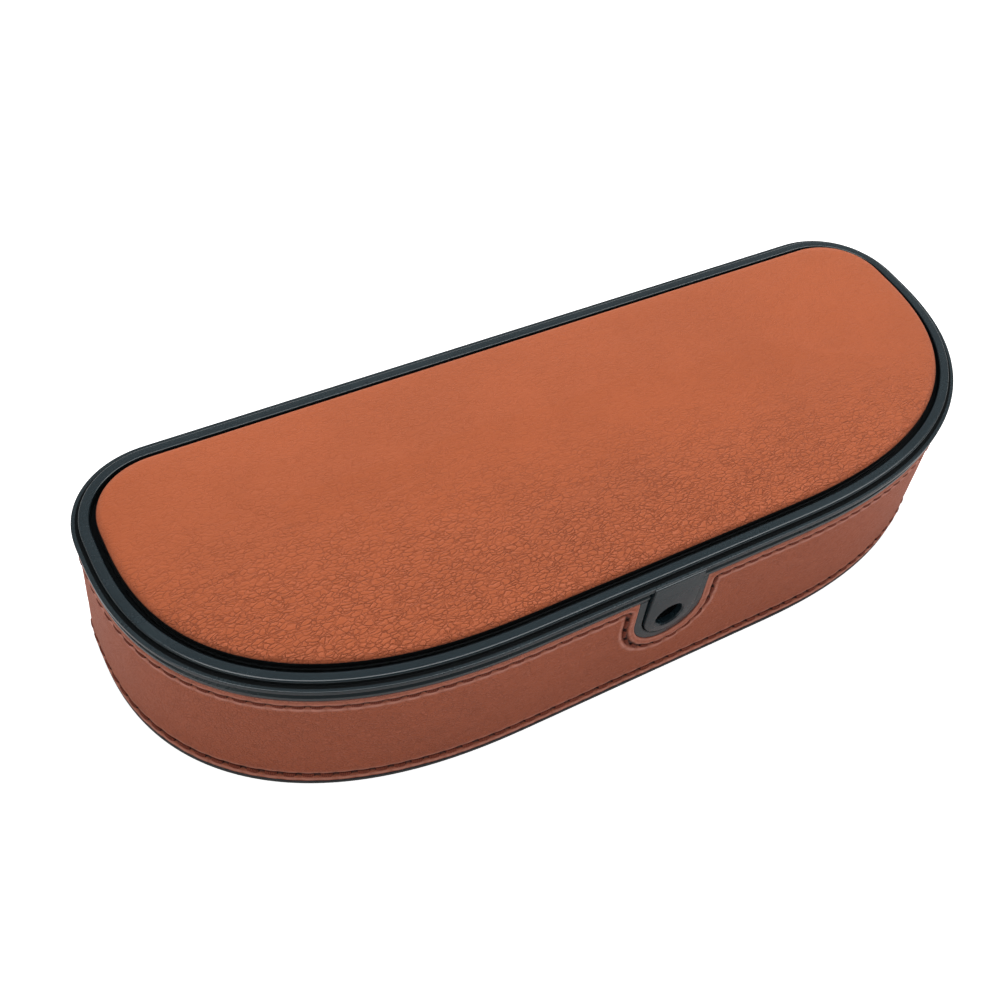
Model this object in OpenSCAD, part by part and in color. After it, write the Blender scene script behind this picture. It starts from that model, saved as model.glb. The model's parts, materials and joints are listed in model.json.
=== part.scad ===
// Hard glasses case with a hinged, padded leather lid.
// Frame: X left to right, Y front to back, Z up. Origin under the middle of the case, on the table.
// The plan outline is straight along the back, with small back corners and long sweeping front
// corners. Every wall is that outline moved in or out by an offset d, outward positive.

/* [Plan outline] */
// Length of the lid frame, left to right
case_l = 200; // [185:1:215]
// Width of the lid frame, front to back
case_w = 72.8; // [70:0.2:80]
// Length of each front corner, along X
front_corner_l = 71; // [60:1:80]
// Depth of each front corner, along Y
front_corner_w = 51.8; // [46:0.2:52]
// Squareness of the front corners, where 2 is an ellipse
front_square = 2.4; // [2:0.1:3]
// Length of each back corner, along X
back_corner_l = 19.4; // [16:0.2:24]
// Depth of each back corner, along Y
back_corner_w = 18.6; // [14:0.2:18.6]
// Squareness of the back corners
back_square = 2.1; // [2:0.1:3]

/* [Heights] */
// Middle of the gap between base and lid
part_z = 32.5; // [30:0.5:40]
// Width of the gap between base and lid
part_gap = 0.3; // [0.2:0.05:0.5]
// Height of the visible strip of the base rim
rim_h = 2.55; // [2:0.05:4]
// Thickness of the bottom plate
plate_h = 1.0; // [0.8:0.1:2]
// Height of the middle of the upper stitching under the top edge of the leather
stitch_drop = 2.3; // [1.5:0.1:4]
// Height of the middle of the lower stitching above the bottom plate
stitch_rise = 2.2; // [1.5:0.1:4]

/* [Walls] */
// Offset of the leather's outer face at its top edge
band_top_d = -0.5; // [-1:0.1:0]
// Offset of the leather's outer face at its bottom edge
band_foot_d = 0.93; // [0:0.01:1.5]
// Thickness of the leather
leather_t = 0.9; // [0.7:0.1:1.2]
// Thickness of the base shell's wall and floor
shell_t = 1.6; // [1.4:0.1:2]
// Thickness of the soft lining
liner_t = 1.0; // [0.8:0.1:1.2]

/* [Lid] */
// Width of the lid frame's top ring
ring_w = 3.5; // [3.4:0.1:4]
// Width of the open groove between the ring and the padded panel
groove_w = 1.1; // [0.8:0.1:1.5]
// Rise of the lid frame's outer face
lip_h = 1.25; // [1.2:0.05:1.5]
// Rise of the lid frame's inner bead over the outer face
bead_h = 1.1; // [0.8:0.1:1.5]
// Crown of the padded panel over its own edge
crown_h = 2.3; // [1.5:0.1:4]

/* [Latch tab] */
// Width of the latch tab
tab_w = 12; // [10:0.5:16]
// Reach of the latch tab under the parting gap
tab_drop = 15.8; // [14:0.1:18]
// Thickness of the latch tab
tab_t = 1.5; // [1.2:0.1:1.5]
// How far the tab's face stands out of the lid frame
tab_proud = 0.35; // [0.2:0.05:0.5]
// Radius of the hole in the tab
tab_hole_r = 3.15; // [2:0.05:3.5]
// Clearance around the tab in its pocket
tab_gap = 0.3; // [0.25:0.05:0.5]
// Width of the rim's border around the tab's pocket
pocket_border = 1.9; // [1.5:0.1:3]

/* [Hinge] */
// Distance of each hinge from the middle of the case
hinge_x = 50; // [40:1:60]
// Radius of the hinge knuckles
knuckle_r = 1.6; // [1.5:0.1:1.8]
// Radius of the hinge pins
pin_r = 0.6; // [0.5:0.05:0.7]
// Length of the lid's knuckle
lid_knuckle_l = 10; // [8:1:16]
// Length of each base knuckle
base_knuckle_l = 5; // [4:1:8]

/* [Magnets] */
// Distance of each magnet from the middle of the case
magnet_x = 21; // [16:1:22]
// Length of each magnet and of the steel plate over it
magnet_l = 12; // [8:1:14]
// Width of each magnet and plate
magnet_w = 2.4; // [2:0.1:2.6]

/* [Hidden] */
$fn = 48;

front_steps = 20;          // segments of each front corner
back_steps = 8;            // segments of each back corner
half_l = case_l / 2;
half_w = case_w / 2;
touch = 0.05;              // gap between pieces glued or clipped together
swing = 0.3;               // gap between the base and the lid's moving parts
past = 1;                  // how far a cutting shape runs past the solid

rim_top = part_z - part_gap / 2;
rim_foot = rim_top - rim_h;
rim_out_d = -0.3;
rim_in_d = -4.3;
skirt_h = 3;               // inner lip of the rim that locates it inside the shell
skirt_out_d = -3.15;

band_top = rim_foot - touch;
band_foot = plate_h + touch;
band_rise = band_top - band_foot;
floor_top = plate_h + touch + shell_t;

lid_foot = part_z + part_gap / 2;
lip_top = lid_foot + lip_h;
bead_top = lip_top + bead_h;
bead_out_d = -1.6;
flange_h = 1.15;           // ledge inside the ring that carries the padded panel
flange_in_d = -8;
panel_d = -ring_w - groove_w;
panel_foot = lid_foot + flange_h + touch;
panel_edge = bead_top + 0.5;
board_t = 1.1;
pad_in = 0.9;              // the board and the pad stop this far inside the leather's edge

tab_face_y = -half_w - tab_proud;
tab_r = tab_w / 2;
tab_mid_z = rim_top - tab_drop + tab_r;
tab_hole_z = tab_mid_z - 0.7;
tab_root_z = lip_top - 0.2;
tab_root_y = tab_face_y + tab_t;
root_slot_y = tab_root_y + touch + half_w + past;
root_slot_z = tab_root_z + touch - lid_foot + past;
pocket_r = tab_r + tab_gap;
pocket_floor_y = tab_root_y + tab_gap;
pocket_plate_t = 0.9;
drop_r = pocket_r + pocket_border;
drop_face_y = -half_w - band_top_d - 0.05;
drop_back_y = pocket_floor_y + pocket_plate_t;
drop_foot_z = tab_mid_z - drop_r;
drop_foot_y = -half_w - band_d(drop_foot_z) + 0.1;
relief_r = tab_hole_r + 0.35;
relief_t = 0.5;

axis_y = half_w + 0.2;
axis_z = part_z - 1.5;
lid_bore_r = pin_r + 0.06;
base_bore_r = pin_r + 0.02;
sweep_r = knuckle_r + swing;
base_knuckle_x = lid_knuckle_l / 2 + swing + base_knuckle_l / 2;
station_l = lid_knuckle_l + 2 * swing + 2 * base_knuckle_l;
pin_l = station_l - 1;
sweep_l = base_knuckle_l + 2 * swing - touch;
hinge_notch_z = axis_z - sweep_r - 0.1;
hinge_root_y = half_w - 2.4;
web_back_y = half_w + band_top_d - leather_t;

magnet_y = -half_w + 2.3;
magnet_t = 1.6;
strike_t = 0.9;

thread_w = 0.6;
thread_t = 0.23;
stitch_r = drop_r + 2.2;
upper_stitch_z = band_top - stitch_drop;
lower_stitch_z = band_foot + stitch_rise;

leather_color = [0.60, 0.32, 0.21];
band_color = [0.50, 0.28, 0.20];
plastic_color = [0.16, 0.19, 0.22];
shell_color = [0.10, 0.10, 0.11];
lining_color = [0.13, 0.13, 0.14];
foam_color = [0.75, 0.74, 0.70];
thread_color = [0.36, 0.17, 0.10];
steel_color = [0.70, 0.70, 0.72];

// One quarter of a squared ellipse, a by b, moved out by d, from the Y side to the X side.
function quarter(a, b, square, d, steps) = [
    for (i = [0:steps])
        let (
            t = 90 * i / steps,
            u = pow(sin(t), 2 / square),
            v = pow(cos(t), 2 / square),
            gx = pow(u, square - 1) / a,
            gy = pow(v, square - 1) / b,
            g = norm([gx, gy])
        )
        [a * u + d * gx / g, b * v + d * gy / g]
];

function reversed(list) = [for (i = [len(list) - 1:-1:0]) list[i]];

// Right half of the plan outline, from the front to the back, moved out by d.
function right_side(d) = concat(
    [for (p = quarter(front_corner_l, front_corner_w, front_square, d, front_steps))
        [half_l - front_corner_l + p[0], -(half_w - front_corner_w) - p[1]]],
    [for (p = reversed(quarter(back_corner_l, back_corner_w, back_square, d, back_steps)))
        [half_l - back_corner_l + p[0], half_w - back_corner_w + p[1]]]
);

// The whole plan outline, anticlockwise from above, moved out by d.
function outline(d) = concat(
    right_side(d),
    [for (p = reversed(right_side(d))) [-p[0], p[1]]]
);

// Offset of the leather's outer face at height z: the wall leans out towards the bottom.
function band_d(z) = band_top_d + (band_foot_d - band_top_d) * (band_top - z) / band_rise;

// Flat plate of the plan outline.
module slab(d, z0, z1) {
    translate([0, 0, z0])
        linear_extrude(z1 - z0)
            polygon(outline(d));
}

// Upright ring between two offsets.
module ring(out_d, in_d, z0, z1) {
    translate([0, 0, z0])
        linear_extrude(z1 - z0)
            difference() {
                polygon(outline(out_d));
                polygon(outline(in_d));
            }
}

// Solid through a stack of outlines, each given as [offset, height], closed by the first and last.
module stack(levels) {
    n = len(outline(0));
    last = len(levels) - 1;
    polyhedron(
        points = [for (l = levels) for (p = outline(l[0])) [p[0], p[1], l[1]]],
        faces = concat(
            [[for (i = [0:n - 1]) i]],
            [for (k = [0:last - 1]) for (i = [0:n - 1]) let (j = (i + 1) % n)
                [k * n + i, (k + 1) * n + i, (k + 1) * n + j]],
            [for (k = [0:last - 1]) for (i = [0:n - 1]) let (j = (i + 1) % n)
                [k * n + i, (k + 1) * n + j, k * n + j]],
            [[for (i = [n - 1:-1:0]) last * n + i]]
        )
    );
}

// Skin that follows the leather band from z0 to z1, between two distances from its outer face.
module band_skin(out, in, z0, z1) {
    difference() {
        stack([[band_d(z0) + out, z0], [band_d(z1) + out, z1]]);
        stack([[band_d(z0 - past) + in, z0 - past], [band_d(z1 + past) + in, z1 + past]]);
    }
}

// Upright tongue with a round end below: half width r, round centre at z, from y0 to y1.
module tongue(r, z, top, y0, y1) {
    translate([-r, y0, z])
        cube([2 * r, y1 - y0, top - z]);
    translate([0, y1, z])
        rotate([90, 0, 0])
            cylinder(r = r, h = y1 - y0);
}

// Cylinder along X, centred at x on the hinge axis.
module on_axis(x, r, l) {
    translate([x - l / 2, axis_y, axis_z])
        rotate([0, 90, 0])
            cylinder(r = r, h = l);
}

// Plate along X, centred at x, with the given side profile in Y and Z.
module side_plate(x, l, profile) {
    translate([x - l / 2, 0, 0])
        rotate([90, 0, 90])
            linear_extrude(l)
                polygon(profile);
}

// Box centred on the magnet place, from z0 to z1, larger all round by grow.
module magnet_block(side, z0, z1, grow) {
    translate([side * magnet_x - magnet_l / 2 - grow, magnet_y - magnet_w / 2 - grow, z0])
        cube([magnet_l + 2 * grow, magnet_w + 2 * grow, z1 - z0]);
}

module bottom_plate() {
    color(shell_color)
        slab(band_foot_d - 0.05, 0, plate_h);
}

module base_shell() {
    out = -leather_t - touch;
    in = out - shell_t;
    top = band_top;
    color(shell_color)
        difference() {
            stack([
                [band_d(band_foot) + out, band_foot],
                [band_d(top) + out, top],
                [band_d(top) + in, top],
                [band_d(floor_top) + in, floor_top]
            ]);
            tongue(drop_r + touch, tab_mid_z, top + past, -half_w - past, -half_w / 2);
        }
}

module base_liner() {
    out = -leather_t - shell_t - 2 * touch - 0.05;
    in = out - liner_t;
    foot = floor_top + touch;
    top = rim_foot - skirt_h - touch;
    color(lining_color)
        stack([
            [band_d(foot) + out, foot],
            [band_d(top) + out, top],
            [band_d(top) + in, top],
            [band_d(foot + liner_t) + in, foot + liner_t]
        ]);
}

module base_leather() {
    color(band_color)
        difference() {
            band_skin(0, -leather_t, band_foot, band_top);
            tongue(drop_r + touch, tab_mid_z, band_top + past, -half_w - 2 * past, -half_w / 2);
            for (side = [-1, 1])
                translate([side * hinge_x - station_l / 2 - touch, half_w / 2, hinge_notch_z - touch])
                    cube([station_l + 2 * touch, half_w, band_top]);
        }
}

// The rim, its knuckles and the plate behind the latch tab, whose face leans with the leather.
module base_rim() {
    web = [
        [hinge_root_y, rim_foot],
        [web_back_y, rim_foot],
        [web_back_y, hinge_notch_z],
        [axis_y - 1.0, hinge_notch_z],
        [axis_y, axis_z - knuckle_r],
        [axis_y, axis_z + 0.6],
        [hinge_root_y, axis_z + 0.6]
    ];
    drop = [
        [drop_foot_y, drop_foot_z - past],
        [drop_foot_y, drop_foot_z],
        [drop_face_y, rim_foot + touch],
        [drop_face_y, rim_top],
        [drop_back_y + past, rim_top],
        [drop_back_y + past, drop_foot_z - past]
    ];
    color(plastic_color)
        difference() {
            union() {
                ring(rim_out_d, rim_in_d, rim_foot, rim_top);
                ring(skirt_out_d, rim_in_d, rim_foot - skirt_h, rim_foot + touch);
                intersection() {
                    tongue(drop_r, tab_mid_z, rim_foot + touch, drop_foot_y - past, drop_back_y);
                    side_plate(0, case_w, drop);
                }
                for (side = [-1, 1])
                    for (end = [-1, 1])
                        base_knuckle(side * hinge_x + end * base_knuckle_x, web);
            }
            tongue(pocket_r, tab_mid_z, rim_top + past, -half_w - past, pocket_floor_y);
            translate([0, pocket_floor_y + relief_t, tab_hole_z])
                rotate([90, 0, 0])
                    cylinder(r = relief_r, h = relief_t + past);
            for (side = [-1, 1]) {
                magnet_block(side, rim_top - magnet_t - touch, rim_top + past, touch);
                on_axis(side * hinge_x, sweep_r, lid_knuckle_l + 2 * swing);
                on_axis(side * hinge_x, base_bore_r, station_l + past);
                translate([side * hinge_x - lid_knuckle_l / 2 - swing, axis_y - sweep_r, axis_z])
                    cube([lid_knuckle_l + 2 * swing, 2 * sweep_r, part_z]);
            }
        }
}

// One knuckle of the base: a barrel on the hinge axis and the web that joins it to the rim.
module base_knuckle(x, web) {
    on_axis(x, knuckle_r, base_knuckle_l);
    side_plate(x, base_knuckle_l, web);
}

module upper_stitching() {
    color(thread_color)
        intersection() {
            band_skin(thread_t, touch, tab_mid_z - stitch_r - past, upper_stitch_z + thread_w / 2);
            union() {
                difference() {
                    translate([-case_l, -case_w, upper_stitch_z - thread_w / 2])
                        cube([2 * case_l, 2 * case_w, thread_w + past]);
                    translate([-stitch_r, -case_w, 0])
                        cube([2 * stitch_r, case_w, part_z]);
                }
                difference() {
                    tongue(stitch_r + thread_w / 2, tab_mid_z, part_z, -case_w, -half_w / 2);
                    tongue(stitch_r - thread_w / 2, tab_mid_z, part_z + past, -case_w - past, 0);
                }
            }
        }
}

module lower_stitching() {
    color(thread_color)
        band_skin(thread_t, touch, lower_stitch_z - thread_w / 2, lower_stitch_z + thread_w / 2);
}

module magnet(side) {
    color(steel_color)
        magnet_block(side, rim_top - magnet_t, rim_top - touch, 0);
}

module magnet_left() {
    magnet(-1);
}

module magnet_right() {
    magnet(1);
}

module hinge_pin(side) {
    color(steel_color)
        on_axis(side * hinge_x, pin_r, pin_l);
}

module hinge_pin_left() {
    hinge_pin(-1);
}

module hinge_pin_right() {
    hinge_pin(1);
}

module lid_frame() {
    arm = [
        [axis_y - knuckle_r, axis_z],
        [axis_y - knuckle_r, lip_top - 0.5],
        [half_w - 0.05, lip_top - 0.5],
        [axis_y + knuckle_r, axis_z]
    ];
    color(plastic_color)
        difference() {
            union() {
                ring(0, -ring_w, lid_foot, lip_top);
                ring(bead_out_d, -ring_w, lip_top - touch, bead_top);
                ring(-ring_w + touch, flange_in_d, lid_foot, lid_foot + flange_h);
                for (side = [-1, 1]) {
                    on_axis(side * hinge_x, knuckle_r, lid_knuckle_l);
                    side_plate(side * hinge_x, lid_knuckle_l, arm);
                }
            }
            translate([-tab_r - touch, -half_w - past, lid_foot - past])
                cube([2 * (tab_r + touch), root_slot_y, root_slot_z]);
            for (side = [-1, 1]) {
                magnet_block(side, lid_foot - past, lid_foot + strike_t + touch, touch);
                on_axis(side * hinge_x, lid_bore_r, lid_knuckle_l + past);
                for (end = [-1, 1])
                    on_axis(side * hinge_x + end * base_knuckle_x, sweep_r, sweep_l);
            }
        }
}

module latch_tab() {
    color(plastic_color)
        difference() {
            tongue(tab_r, tab_mid_z, tab_root_z, tab_face_y, tab_root_y);
            translate([0, 0, tab_hole_z])
                rotate([90, 0, 0])
                    cylinder(r = tab_hole_r, h = case_w);
        }
}

module lid_board() {
    color(shell_color)
        slab(panel_d - pad_in - touch, panel_foot, panel_foot + board_t);
}

module lid_pad() {
    foot = panel_foot + board_t + touch;
    in = panel_d - pad_in - touch;
    drop = leather_t + touch;
    color(foam_color)
        stack([
            [in, foot],
            [in - 0.9, panel_edge + 0.3 * crown_h - drop],
            [in - 3, panel_edge + 0.65 * crown_h - drop],
            [in - 8, panel_edge + crown_h - drop]
        ]);
}

module lid_leather() {
    in = panel_d - pad_in;
    color(leather_color)
        stack([
            [in - 8, panel_edge + crown_h - leather_t],
            [in - 3, panel_edge + 0.65 * crown_h - leather_t],
            [in - 0.8, panel_edge + 0.3 * crown_h - leather_t],
            [in, panel_foot + board_t],
            [in, panel_foot],
            [panel_d, panel_foot],
            [panel_d, panel_edge - 0.35],
            [panel_d - 0.6, panel_edge + 0.3 * crown_h],
            [in - 2, panel_edge + 0.65 * crown_h],
            [in - 8, panel_edge + crown_h]
        ]);
}

module lid_liner() {
    color(lining_color)
        slab(flange_in_d - touch, lid_foot + 0.15, panel_foot - touch);
}

module strike_plate(side) {
    color(steel_color)
        magnet_block(side, lid_foot + touch, lid_foot + strike_t, 0);
}

module strike_plate_left() {
    strike_plate(-1);
}

module strike_plate_right() {
    strike_plate(1);
}

bottom_plate();
base_shell();
base_liner();
base_leather();
base_rim();
upper_stitching();
lower_stitching();
magnet_left();
magnet_right();
hinge_pin_left();
hinge_pin_right();
lid_frame();
latch_tab();
lid_board();
lid_pad();
lid_leather();
lid_liner();
strike_plate_left();
strike_plate_right();
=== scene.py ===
"""Looks of the hard glasses case: leather, stitching, moulded plastic, hinges and lining.

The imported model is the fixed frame. X runs left to right, Y from the latch tab to the hinges
and Z up. Sizes in the classes are millimetres in that frame, and meshes are in metres.
"""

import json
import logging
import math
import random
from contextlib import contextmanager
from dataclasses import dataclass, field
from enum import Enum
from typing import Callable, Iterator, Sequence

import bmesh
import bpy
import numpy as np
from mathutils import Matrix, Vector, noise
from mathutils.kdtree import KDTree


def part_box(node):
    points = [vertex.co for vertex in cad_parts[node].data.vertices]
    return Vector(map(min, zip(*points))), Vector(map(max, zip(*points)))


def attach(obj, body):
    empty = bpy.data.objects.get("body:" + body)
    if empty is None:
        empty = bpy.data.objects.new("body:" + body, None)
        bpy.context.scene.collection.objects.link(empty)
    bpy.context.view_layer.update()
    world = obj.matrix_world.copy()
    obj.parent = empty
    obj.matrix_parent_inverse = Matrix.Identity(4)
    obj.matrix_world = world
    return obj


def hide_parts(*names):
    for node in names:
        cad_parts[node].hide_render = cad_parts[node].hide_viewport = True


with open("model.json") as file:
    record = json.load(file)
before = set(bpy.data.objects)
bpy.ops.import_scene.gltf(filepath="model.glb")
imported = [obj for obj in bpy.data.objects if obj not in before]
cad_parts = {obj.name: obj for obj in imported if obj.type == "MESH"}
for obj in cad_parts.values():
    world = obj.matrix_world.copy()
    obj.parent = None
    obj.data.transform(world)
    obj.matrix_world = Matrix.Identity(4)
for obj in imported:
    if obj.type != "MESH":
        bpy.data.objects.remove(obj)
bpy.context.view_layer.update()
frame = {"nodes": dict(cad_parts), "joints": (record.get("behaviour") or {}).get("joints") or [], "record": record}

LOG = logging.getLogger("glasses_case")
MM = 0.001
MERGE = 0.02 * MM  # points on the middle line that are closer than this become one
SPINE_START = -14.0  # offset where a flat panel's rings leave the outline for its middle line
SPINE_HALF = 60.0  # half the length of that line, in millimetres
Colour = tuple[float, float, float]
Point2 = tuple[float, float]
Piece = bpy.types.Object
Socket = bpy.types.NodeSocket


class Body(Enum):
    """The two bodies that the hinge joins."""

    BASE = "base"
    LID = "lid"


class Slot(Enum):
    """Names of the record's material slots."""

    LID_LEATHER = "lid_leather"
    BAND_LEATHER = "band_leather"
    FRAME_PLASTIC = "frame_plastic"
    RIM_PLASTIC = "rim_plastic"
    MOULDED_PLASTIC = "moulded_plastic"
    LINING = "lining"
    THREAD = "thread"
    MAGNET = "magnet"
    STEEL = "steel"


class Along(Enum):
    """The axis that a prism or a cylinder runs along."""

    X = "x"
    Y = "y"
    Z = "z"


class Cut(Enum):
    """How one solid works on another."""

    ADD = "UNION"
    REMOVE = "DIFFERENCE"


# ---------------------------------------------------------------- sizes


@dataclass(frozen=True)
class CaseSizes:
    """The places that every piece shares, in millimetres."""

    length: float
    width: float
    rim_top: float
    lid_foot: float
    band_top: float
    band_foot: float
    panel_foot: float
    plate_top: float
    floor_top: float
    tab_face_y: float
    tab_foot_z: float
    hole_z: float
    hole_r: float
    hinge_y: float
    hinge_z: float

    @classmethod
    def from_frame(cls) -> "CaseSizes":
        """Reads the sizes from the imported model's nodes and joint.

        Returns:
            The sizes of this case.
        """
        ring_low, ring_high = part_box("lid_frame")
        board_low, board_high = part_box("lid_board")
        band_low, band_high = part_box("base_leather")
        plate_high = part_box("bottom_plate")[1]
        tab_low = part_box("latch_tab")[0]
        joint = frame["joints"][0]["pos_m"]
        bore = next(m for m in frame["record"]["mounts"] if m["kind"] == "bore")
        board_inset = ring_high.x - board_high.x
        return cls(
            length=(ring_high.x - ring_low.x) / MM,
            width=(board_high.y - board_low.y + 2 * board_inset) / MM,
            rim_top=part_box("magnet_left")[1].z / MM + 0.05,
            lid_foot=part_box("strike_plate_left")[0].z / MM - 0.05,
            band_top=band_high.z / MM,
            band_foot=band_low.z / MM,
            panel_foot=board_low.z / MM,
            plate_top=plate_high.z / MM,
            floor_top=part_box("base_liner")[0].z / MM,
            tab_face_y=tab_low.y / MM,
            tab_foot_z=tab_low.z / MM,
            hole_z=bore["pos_m"][2] / MM,
            hole_r=bore["dims"]["r_mm"],
            hinge_y=joint[1] / MM,
            hinge_z=joint[2] / MM,
        )


@dataclass(frozen=True)
class PlanOutline:
    """The outline of the case from above: straight back, small back and sweeping front corners.

    Places along it are distances in millimetres from the middle of the front, anticlockwise.
    """

    length: float
    width: float
    front_l: float = 71.0
    front_w: float = 51.8
    front_square: float = 2.4
    back_l: float = 19.4
    back_w: float = 18.6
    back_square: float = 2.1
    steps: int = 2400

    def _corner(self, size_l: float, size_w: float, square: float) -> tuple[np.ndarray, np.ndarray]:
        """One squared-ellipse corner, from its Y side to its X side.

        Args:
            size_l: Length of the corner along X.
            size_w: Depth of the corner along Y.
            square: Squareness, where 2 is an ellipse.

        Returns:
            Points and outward normals, both in the first quadrant.
        """
        angle = np.linspace(0, math.pi / 2, self.steps)
        u = np.sin(angle) ** (2 / square)
        v = np.maximum(np.cos(angle), 0) ** (2 / square)
        normal = np.stack([u ** (square - 1) / size_l, v ** (square - 1) / size_w], axis=1)
        normal /= np.linalg.norm(normal, axis=1)[:, None]
        return np.stack([size_l * u, size_w * v], axis=1), normal

    def _traced(self) -> tuple[np.ndarray, np.ndarray, np.ndarray]:
        """The whole outline, finely divided.

        Returns:
            Points, outward normals and each point's distance along the outline.
        """
        half_l, half_w = self.length / 2, self.width / 2
        front, front_n = self._corner(self.front_l, self.front_w, self.front_square)
        back, back_n = self._corner(self.back_l, self.back_w, self.back_square)
        front = front * [1, -1] + [half_l - self.front_l, -(half_w - self.front_w)]
        back = back[::-1] + [half_l - self.back_l, half_w - self.back_w]
        ends = np.array([[0, -half_w]]), np.array([[0, half_w]])
        right = np.vstack([ends[0], front, back, ends[1]])
        right_n = np.vstack([[[0, -1]], front_n * [1, -1], back_n[::-1], [[0, 1]]])
        points = np.vstack([right, right[::-1] * [-1, 1]])
        normals = np.vstack([right_n, right_n[::-1] * [-1, 1]])
        along = np.concatenate([[0], np.cumsum(np.linalg.norm(np.diff(points, axis=0), axis=1))])
        return points, normals, along

    def girth(self) -> float:
        """Length of the whole outline."""
        return float(self._traced()[2][-1])

    def at(self, places: np.ndarray) -> tuple[np.ndarray, np.ndarray]:
        """Points and outward normals at the given places.

        Args:
            places: Distances along the outline, which wrap round.

        Returns:
            Points and normals, one row each.
        """
        points, normals, along = self._traced()
        wrapped = np.mod(places, along[-1])
        point = np.stack([np.interp(wrapped, along, points[:, k]) for k in (0, 1)], axis=1)
        normal = np.stack([np.interp(wrapped, along, normals[:, k]) for k in (0, 1)], axis=1)
        return point, normal / np.linalg.norm(normal, axis=1)[:, None]

    def even(self, count: int) -> np.ndarray:
        """Evenly spaced places round the whole outline."""
        return np.arange(count) * self.girth() / count

    def ring(self, places: np.ndarray, offset: float, height: float) -> np.ndarray:
        """A ring of points moved out by offset, at one height.

        Args:
            places: Distances along the outline.
            offset: How far out, negative inwards.
            height: Height of the ring.

        Returns:
            One row of X, Y and Z for each place.
        """
        point, normal = self.at(places)
        return np.column_stack([point + normal * offset, np.full(len(places), height)])

    def toward_spine(self, places: np.ndarray, offset: float, height: float, part: float) -> np.ndarray:
        """A ring part of the way from an offset outline to a line along the middle.

        Args:
            places: Distances along the outline.
            offset: Offset of the ring that the points start from.
            height: Height of the new ring.
            part: 0 at the starting ring and 1 on the line.

        Returns:
            One row of X, Y and Z for each place.
        """
        start = self.ring(places, offset, height)
        on_line = np.clip(start[:, 0], -SPINE_HALF, SPINE_HALF)
        end = np.column_stack([on_line, np.zeros(len(start)), start[:, 2]])
        return start + (end - start) * part


# ---------------------------------------------------------------- modelling tools


def pick(piece: Piece) -> None:
    """Makes a piece the only selected object and the active one.

    Args:
        piece: The piece.
    """
    bpy.ops.object.select_all(action="DESELECT")
    piece.select_set(True)
    bpy.context.view_layer.objects.active = piece


def rename(piece: Piece, name: str) -> Piece:
    """Gives a piece and its mesh one name.

    Args:
        piece: The piece.
        name: Its new name.

    Returns:
        The piece.
    """
    piece.name = name
    piece.data.name = name
    return piece


@contextmanager
def editing(piece: Piece) -> Iterator[bmesh.types.BMesh]:
    """Opens a piece in edit mode and closes it again.

    Args:
        piece: The piece to edit.

    Yields:
        The mesh that the edit mode shows.
    """
    pick(piece)
    bpy.ops.object.mode_set(mode="EDIT")
    yield bmesh.from_edit_mesh(piece.data)
    bmesh.update_edit_mesh(piece.data)
    bpy.ops.object.mode_set(mode="OBJECT")


def clean(piece: Piece, merge: float = 1e-6) -> None:
    """Merges doubled points and turns every face outwards.

    Args:
        piece: The piece to clean.
        merge: Points closer than this become one, in metres.
    """
    with editing(piece):
        bpy.ops.mesh.select_all(action="SELECT")
        bpy.ops.mesh.remove_doubles(threshold=merge)
        bpy.ops.mesh.normals_make_consistent(inside=False)


def soften(piece: Piece, angle: float = 38.0) -> None:
    """Shades a piece smooth, apart from edges sharper than angle in degrees."""
    pick(piece)
    bpy.ops.object.shade_smooth_by_angle(angle=math.radians(angle))


def tree_of(points: Sequence[Sequence[float]]) -> KDTree:
    """Builds a search tree.

    Args:
        points: Points with two or three coordinates.

    Returns:
        The tree, which knows each point by its number.
    """
    tree = KDTree(len(points))
    for index, point in enumerate(points):
        tree.insert((*point, 0)[:3], index)
    tree.balance()
    return tree


def place_ring(mesh: bmesh.types.BMesh, ring: np.ndarray) -> None:
    """Moves the selected points to their places on a ring.

    Args:
        mesh: The mesh in edit mode, whose points know their station on the ring.
        ring: The ring's points in millimetres.
    """
    station = mesh.verts.layers.int["station"]
    for vertex in mesh.verts:
        if vertex.select:
            vertex.co = Vector(ring[vertex[station]]) * MM


def number_in_order(piece: Piece) -> None:
    """Numbers a mesh's points, edges and faces by their places.

    Extruding numbers them differently from run to run, and merging and cloth follow the numbers.

    Args:
        piece: The piece.
    """
    with editing(piece) as mesh:
        for parts in (mesh.verts, mesh.edges, mesh.faces):
            parts.index_update()
            corners = [[v.co for v in getattr(part, "verts", (part,))] for part in parts]
            middles = np.array([sum(places, Vector((0, 0, 0))) / len(places) for places in corners])
            ranks = np.empty(len(middles))
            ranks[np.lexsort(np.round(middles.T, 7))] = np.arange(len(middles))
            parts.sort(key=lambda part: float(ranks[part.index]))


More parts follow.
